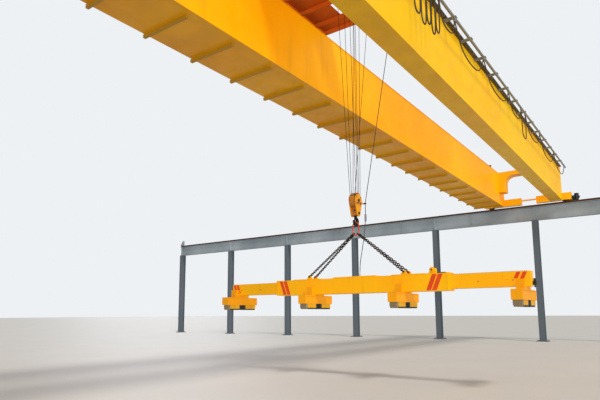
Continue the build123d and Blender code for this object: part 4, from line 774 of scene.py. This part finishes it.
def clipMesh(name):
    # A rail clip: a stepped plate on the rail's foot with a bolt through it.
    length, width, thick = clips["length"], clips["width"], clips["thick"]
    made = bmesh.new()
    ends = [[made.verts.new((length * x, y, thick * z)) for x, z in clips["outline"]]
            for y in (-width / 2, width / 2)]
    count = len(clips["outline"])
    for i in range(count):
        made.faces.new((ends[0][i], ends[0][(i + 1) % count], ends[1][(i + 1) % count], ends[1][i]))
    made.faces.new(list(reversed(ends[0])))
    made.faces.new(ends[1])
    made.from_mesh(boltMesh("clip"))
    for vert in made.verts[2 * count:]:
        vert.co += Vector((length * clips["bolt"][0], 0, thick * clips["bolt"][1]))
    bmesh.ops.recalc_face_normals(made, faces=made.faces)
    return meshOf(name, made)


def clipPairs(start, along, across, foot, count):
    # A clip on each side of a rail's foot, at each pitch along it.
    reach = Vector(across) * (foot + clips["length"] * clips["seat"])
    facing = math.atan2(across[1], across[0])
    spots = []
    for i in range(count):
        place = Vector(start) + Vector(along) * clips["pitch"] * (i + 0.5)
        spots += [(place + reach, (0, 0, facing)), (place - reach, (0, 0, facing + math.pi))]
    return spots


rails = {"runwayFoot": 0.065, "trolleyFoot": 0.045, "trolleyAside": 0.08, "trolleyEnd": 0.3}


def railClips():
    # Pairs of clips along the runway rails and the trolley's rails.
    low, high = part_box("runway_rails")
    foot = rails["runwayFoot"]
    count = int((high.y - low.y) / clips["pitch"])
    spots = []
    for x in (low.x + foot, high.x - foot):
        spots += clipPairs((x, low.y, low.z), (0, 1, 0), (1, 0, 0), foot, count)
    scatter("runwayClips", spots, clipMesh("runwayClip"), "runway", "bolt")
    low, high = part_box("trolley_rails")
    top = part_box("left_girder")[1].z
    count = int((high.x - low.x - 2 * rails["trolleyEnd"]) / clips["pitch"])
    spots = []
    for y in (low.y + rails["trolleyAside"], high.y - rails["trolleyAside"]):
        start = (low.x + rails["trolleyEnd"], y, top)
        spots += clipPairs(start, (1, 0, 0), (0, 1, 0), rails["trolleyFoot"], count)
    scatter("trolleyRailClips", spots, clipMesh("trolleyRailClip"), "bridge", "bolt")


def ringSpots(centre, radius, count, axis, start=0.0):
    # Places round a circle on a face that looks along an axis.
    spots = []
    for i in range(count):
        angle = 2 * math.pi * i / count + start
        a, b = radius * math.cos(angle), radius * math.sin(angle)
        place = {"x": (0, a, b), "y": (a, 0, b), "z": (a, b, 0)}[axis[1]]
        spots.append((tuple(Vector(centre) + Vector(place)), turnTo(axis)))
    return spots


axleCaps = {"ahead": 2.03, "face": 0.154, "ring": 0.078, "count": 6, "turn": 0.4}
brackets = {"count": 23, "pitch": 1.4, "side": 0.012, "rows": (0.08, 0.2)}


def bridgeBolts():
    # Bolts on the axle caps and on the brackets of the festoon's track.
    railX, wheelZ = middleOf("far_columns").x, middleOf("bridge_wheels").z
    spots = []
    for x in (-railX, railX):
        for y in (bridgeY - axleCaps["ahead"], bridgeY + axleCaps["ahead"]):
            for face, axis in ((-axleCaps["face"], "-x"), (axleCaps["face"], "+x")):
                spots += ringSpots((x + face, y, wheelZ), axleCaps["ring"], axleCaps["count"], axis,
                                   axleCaps["turn"])
    scatter("axleCapBolts", spots, boltMesh("cap"), "bridge", "bolt")
    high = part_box("festoon_track")[1]
    spots = []
    for i in range(brackets["count"]):
        x = (i - (brackets["count"] - 1) / 2) * brackets["pitch"] + brackets["side"]
        spots += [((x, high.y - row, high.z), turnTo("+z")) for row in brackets["rows"]]
    scatter("trackBracketBolts", spots, boltMesh("bracket"), "bridge", "bolt")


armScrews = {"along": (3.06, 3.78), "height": 2.28}
collars = {"along": 2.405, "heights": (2.15, 2.3, 2.45)}


def bothFaces(half):
    return ((hookX - half, "-x"), (hookX + half, "+x"))


def spreaderBolts():
    # Screws of the wear pads in the arms' sides and the bolts on the collars.
    for body, side in (("left_arm", 1), ("right_arm", -1)):
        spots = [((x, bridgeY + side * y, armScrews["height"]), turnTo(axis))
                 for x, axis in bothFaces(beam["armHalf"]) for y in armScrews["along"]]
        scatter(body + "Screws", spots, boltMesh("screw"), body, "bolt")
    spots = [((x, bridgeY + side * collars["along"], z), turnTo(axis)) for side in (-1, 1)
             for x, axis in bothFaces(beam["collarHalf"]) for z in collars["heights"]]
    scatter("collarBolts", spots, boltMesh("plate"), "spreader", "spreader_paint")


cheeks = {"face": 0.1, "ring": 0.135, "angles": (40, 140, 220, 320), "keeperDown": 0.07, "keeperThick": 0.01,
          "keeperHalf": 0.08, "keeperRise": 0.02, "keeperBolt": 0.055}


def blockBolts():
    # Bolts and the keeper plates on the cheeks of the hook block.
    spots, keepers = [], []
    keeperZ = sheaveZ - cheeks["keeperDown"]
    for side, axis in ((-1, "-y"), (1, "+y")):
        y = bridgeY + side * cheeks["face"]
        outer = y + side * cheeks["keeperThick"]
        for angle in cheeks["angles"]:
            dx, dz = (cheeks["ring"] * turn(math.radians(angle)) for turn in (math.cos, math.sin))
            spots.append(((hookX + dx, y, sheaveZ + dz), turnTo(axis)))
        for dx in (-cheeks["keeperBolt"], cheeks["keeperBolt"]):
            spots.append(((hookX + dx, outer, keeperZ), turnTo(axis)))
        keepers.append(((hookX - cheeks["keeperHalf"], min(y, outer), keeperZ - cheeks["keeperRise"]),
                        (hookX + cheeks["keeperHalf"], max(y, outer), keeperZ + cheeks["keeperRise"])))
    scatter("blockBolts", spots, boltMesh("plate"), "hook_block", "bolt")
    slabs("keeperPlates", keepers, "hook_block", "block_paint", 0.002)


gearbox = {"count": 11, "inset": 0.06, "edge": 0.02, "seamDown": 0.111, "flangeRing": 0.17, "flangeBolts": 8}


def trolleyBolts():
    # Bolts along the gearbox's seam and round the drum's flange.
    low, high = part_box("hoist_drive")
    drumX = hookX + ropes["drumAhead"] - ropes["drumRadius"]
    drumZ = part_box("drum_ropes")[1].z
    first, last = low.x + gearbox["inset"], high.x - gearbox["inset"]
    spots = []
    for i in range(gearbox["count"]):
        x = first + i * (last - first) / (gearbox["count"] - 1)
        spots.append(((x, high.y - gearbox["edge"], drumZ - gearbox["seamDown"]), turnTo("+z")))
    spots += ringSpots((drumX, high.y, drumZ), gearbox["flangeRing"], gearbox["flangeBolts"], "+y")
    scatter("gearboxBolts", spots, boltMesh("gearbox"), "trolley", "bolt")


anchorBolts()
railClips()
bridgeBolts()
spreaderBolts()
blockBolts()
trolleyBolts()
print("bolts and clips made")


doubler = {"lift": 0.0004, "thick": 0.008, "half": 0.6, "down": 0.39, "up": 0.01, "bevel": 0.003}


def beamDoublers():
    # Wider plates on both sides of the beam's middle.
    inner = beam["half"] + doubler["lift"]
    outer = inner + doubler["thick"]
    low, high = beamTop - doubler["down"], beamTop - doubler["up"]
    left, right = bridgeY - doubler["half"], bridgeY + doubler["half"]
    corners = [((hookX - outer, left, low), (hookX - inner, right, high)),
               ((hookX + inner, left, low), (hookX + outer, right, high))]
    slabs("beamDoublers", corners, "spreader", "spreader_paint", doubler["bevel"])


beamDoublers()


pad = {"half": 0.15, "along": (-2.34, -2.16), "lift": 0.0004, "thick": 0.022}


def beamPad():
    # A dark pad on the beam by the right collar.
    near, far = (bridgeY + y for y in pad["along"])
    corners = [((hookX - pad["half"], near, beamTop + pad["lift"]),
                (hookX + pad["half"], far, beamTop + pad["thick"]))]
    slabs("beamPad", corners, "spreader", "black_plastic", doubler["bevel"])


hub = {"rise": 0.092, "plate": 0.009, "ring": 0.049, "bolts": 6}
hubOutline = [(0.062, 0.0), (0.062, 0.008), (0.036, 0.013), (0.036, 0.024)]
shaftOutline = [(0.019, 0.024), (0.019, 0.036), (0.015, 0.039)]


def driveHub():
    # The arm drive's hub with its shaft and a ring of bolts.
    centre = (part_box("arm_drive")[0].x, middleOf("arm_drive").y, beamTop + hub["rise"])
    turn = turnTo("-x")
    flange = turnedMesh("driveHub", hubOutline, facets["hub"], centre, turn)
    meshPiece("driveHub", flange, "spreader", "spreader_paint")
    shaft = turnedMesh("driveShaft", shaftOutline, facets["plug"], centre, turn)
    meshPiece("driveShaft", shaft, "spreader", "wheel_steel")
    spots = ringSpots((centre[0] - hub["plate"], centre[1], centre[2]), hub["ring"], hub["bolts"], "-x")
    scatter("driveHubBolts", spots, boltMesh("hub"), "spreader", "bolt")


# The switch's box, its head and its gland, from the hook along X, from the arm's end along Y, and in height
switch = {"box": ((0.02, -0.075, 2.17), (0.12, -0.001, 2.25)), "gland": (0.07, -0.037, 2.169),
          "head": ((0.045, -0.06, 2.25), (0.095, -0.015, 2.31))}
glandOutline = [(0.016, 0.0), (0.016, 0.035), (0.011, 0.04), (0.011, 0.05)]


def armSwitch():
    # A switch with its gland on the right arm's end.
    foot = Vector((hookX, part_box("right_arm")[0].y, 0))
    corners = [tuple(tuple(foot + Vector(corner)) for corner in switch[part]) for part in ("box", "head")]
    slabs("armSwitch", corners, "right_arm", "black_plastic", 0.006)
    place = foot + Vector(switch["gland"])
    gland = turnedMesh("armSwitchGland", glandOutline, facets["gland"], place, turnTo("-z"))
    meshPiece("armSwitchGland", gland, "right_arm", "black_plastic")


beamPad()
driveHub()
armSwitch()


tray = {"lifts": (0.0145, 0.0115, 0.0165), "radius": 0.012, "first": 0.028, "pitch": 0.032, "wave": 0.004,
        "turn": 1.7, "shift": 2.0, "points": 24, "end": 0.05, "floor": 0.003}


def trayCables():
    # Power cables that lie side by side in the tray along the right girder.
    low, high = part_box("cable_tray")
    first, step = low.x + tray["end"], (high.x - low.x - 2 * tray["end"]) / tray["points"]
    spines = []
    for i, lift in enumerate(tray["lifts"]):
        y, z = low.y + tray["first"] + i * tray["pitch"], low.z + tray["floor"] + lift
        points = [(first + k * step, y + tray["wave"] * math.sin(k * tray["turn"] + i * tray["shift"]), z)
                  for k in range(tray["points"] + 1)]
        spines.append(splinePoints(points, 3))
    mesh = sweptMesh("trayCables", spines, roundSection(tray["radius"], facets["tray"]))
    meshPiece("trayCables", mesh, "bridge", "cable_rubber")


trayCables()


studio = {"floorSize": 600.0, "floorDown": 0.002, "floor": "#e2e2e0", "floorTone": "#d2d3d2",
          "sky": "#f2f1ee", "seen": "#eef1f4", "skyPower": 0.4}


def buildStage():
    size, down = studio["floorSize"] / 2, studio["floorDown"]
    mesh = meshFrom("floor", [(-size, -size, -down), (size, -size, -down), (size, size, -down),
                              (-size, size, -down)], [(0, 1, 2, 3)])
    material, tree, place = blank("floorMaterial")
    noises = {"tone": (0.4,), "grain": (8.0,)}
    fields, shares = layers(tree, place, noises, {"tone": ("tone", 0.3, 0.7, 0.0, 0.25)})
    mixed = {0: shares["tone"], 6: linear(studio["floor"]), 7: linear(studio["floorTone"])}
    colour = addNode(tree, "ShaderNodeMix", mixed, data_type="RGBA").outputs[2]
    finishMaterial(tree, colour, 0.7, 0.0, fields["grain"], 0.001)
    floor = newObject("floor", mesh)
    floor.data.materials.append(material)


lamps = {"key": {"power": 1.5, "colour": "#fff6ea", "soft": 12.0, "turn": (40, 0, -30), "shadow": True},
         "front": {"power": 1.9, "colour": "#fffaf2", "soft": 20.0, "turn": (98, 0, -38), "shadow": False},
         "back": {"power": 0.9, "colour": "#eef3ff", "soft": 20.0, "turn": (80, 0, 140), "shadow": False}}


def buildLight():
    world = bpy.data.worlds.new("hall")
    bpy.context.scene.world = world
    world.use_nodes = True
    tree = world.node_tree
    tree.nodes.clear()
    seen = addNode(tree, "ShaderNodeBackground", {"Color": linear(studio["seen"]), "Strength": 1.0})
    glow = {"Color": linear(studio["sky"]), "Strength": studio["skyPower"]}
    lit = addNode(tree, "ShaderNodeBackground", glow)
    cameraRay = addNode(tree, "ShaderNodeLightPath").outputs["Is Camera Ray"]
    both = addNode(tree, "ShaderNodeMixShader", {0: cameraRay, 1: lit.outputs[0], 2: seen.outputs[0]})
    addNode(tree, "ShaderNodeOutputWorld", {"Surface": both.outputs[0]})
    for name, values in lamps.items():
        lamp = bpy.data.lights.new(name + "Light", "SUN")
        lamp.use_shadow = values["shadow"]
        lamp.energy = values["power"]
        lamp.angle = math.radians(values["soft"])
        lamp.color = linear(values["colour"])[:3]
        newObject(name + "Light", lamp).rotation_euler = [math.radians(a) for a in values["turn"]]


photo = {"place": (-14.78, -18.06, 1.6), "yaw": 35.535, "pitch": 8.03, "roll": -0.257,
         "lens": 30.97, "sensor": 36.0, "shiftUp": 0.0683, "farthest": 1000.0}


def buildCamera():
    # The photo's own viewpoint, found from its straight edges.
    yaw, pitch, roll = (math.radians(photo[key]) for key in ("yaw", "pitch", "roll"))
    forward = Vector((math.cos(yaw) * math.cos(pitch), math.sin(yaw) * math.cos(pitch), math.sin(pitch)))
    level = Vector((math.sin(yaw), -math.cos(yaw), 0))
    above = level.cross(forward)
    right = level * math.cos(roll) + above * math.sin(roll)
    top = above * math.cos(roll) - level * math.sin(roll)
    data = bpy.data.cameras.new("camera")
    data.lens = photo["lens"]
    data.sensor_width = photo["sensor"]
    data.shift_y = photo["shiftUp"]
    data.clip_end = photo["farthest"]
    holder = newObject("camera", data)
    turn = Matrix((right, top, -forward)).transposed()
    holder.matrix_world = Matrix.Translation(Vector(photo["place"])) @ turn.to_4x4()
    bpy.context.scene.camera = holder


buildStage()
buildLight()
buildCamera()
bpy.context.scene.view_settings.view_transform = "Standard"
print("stage, light and camera made")
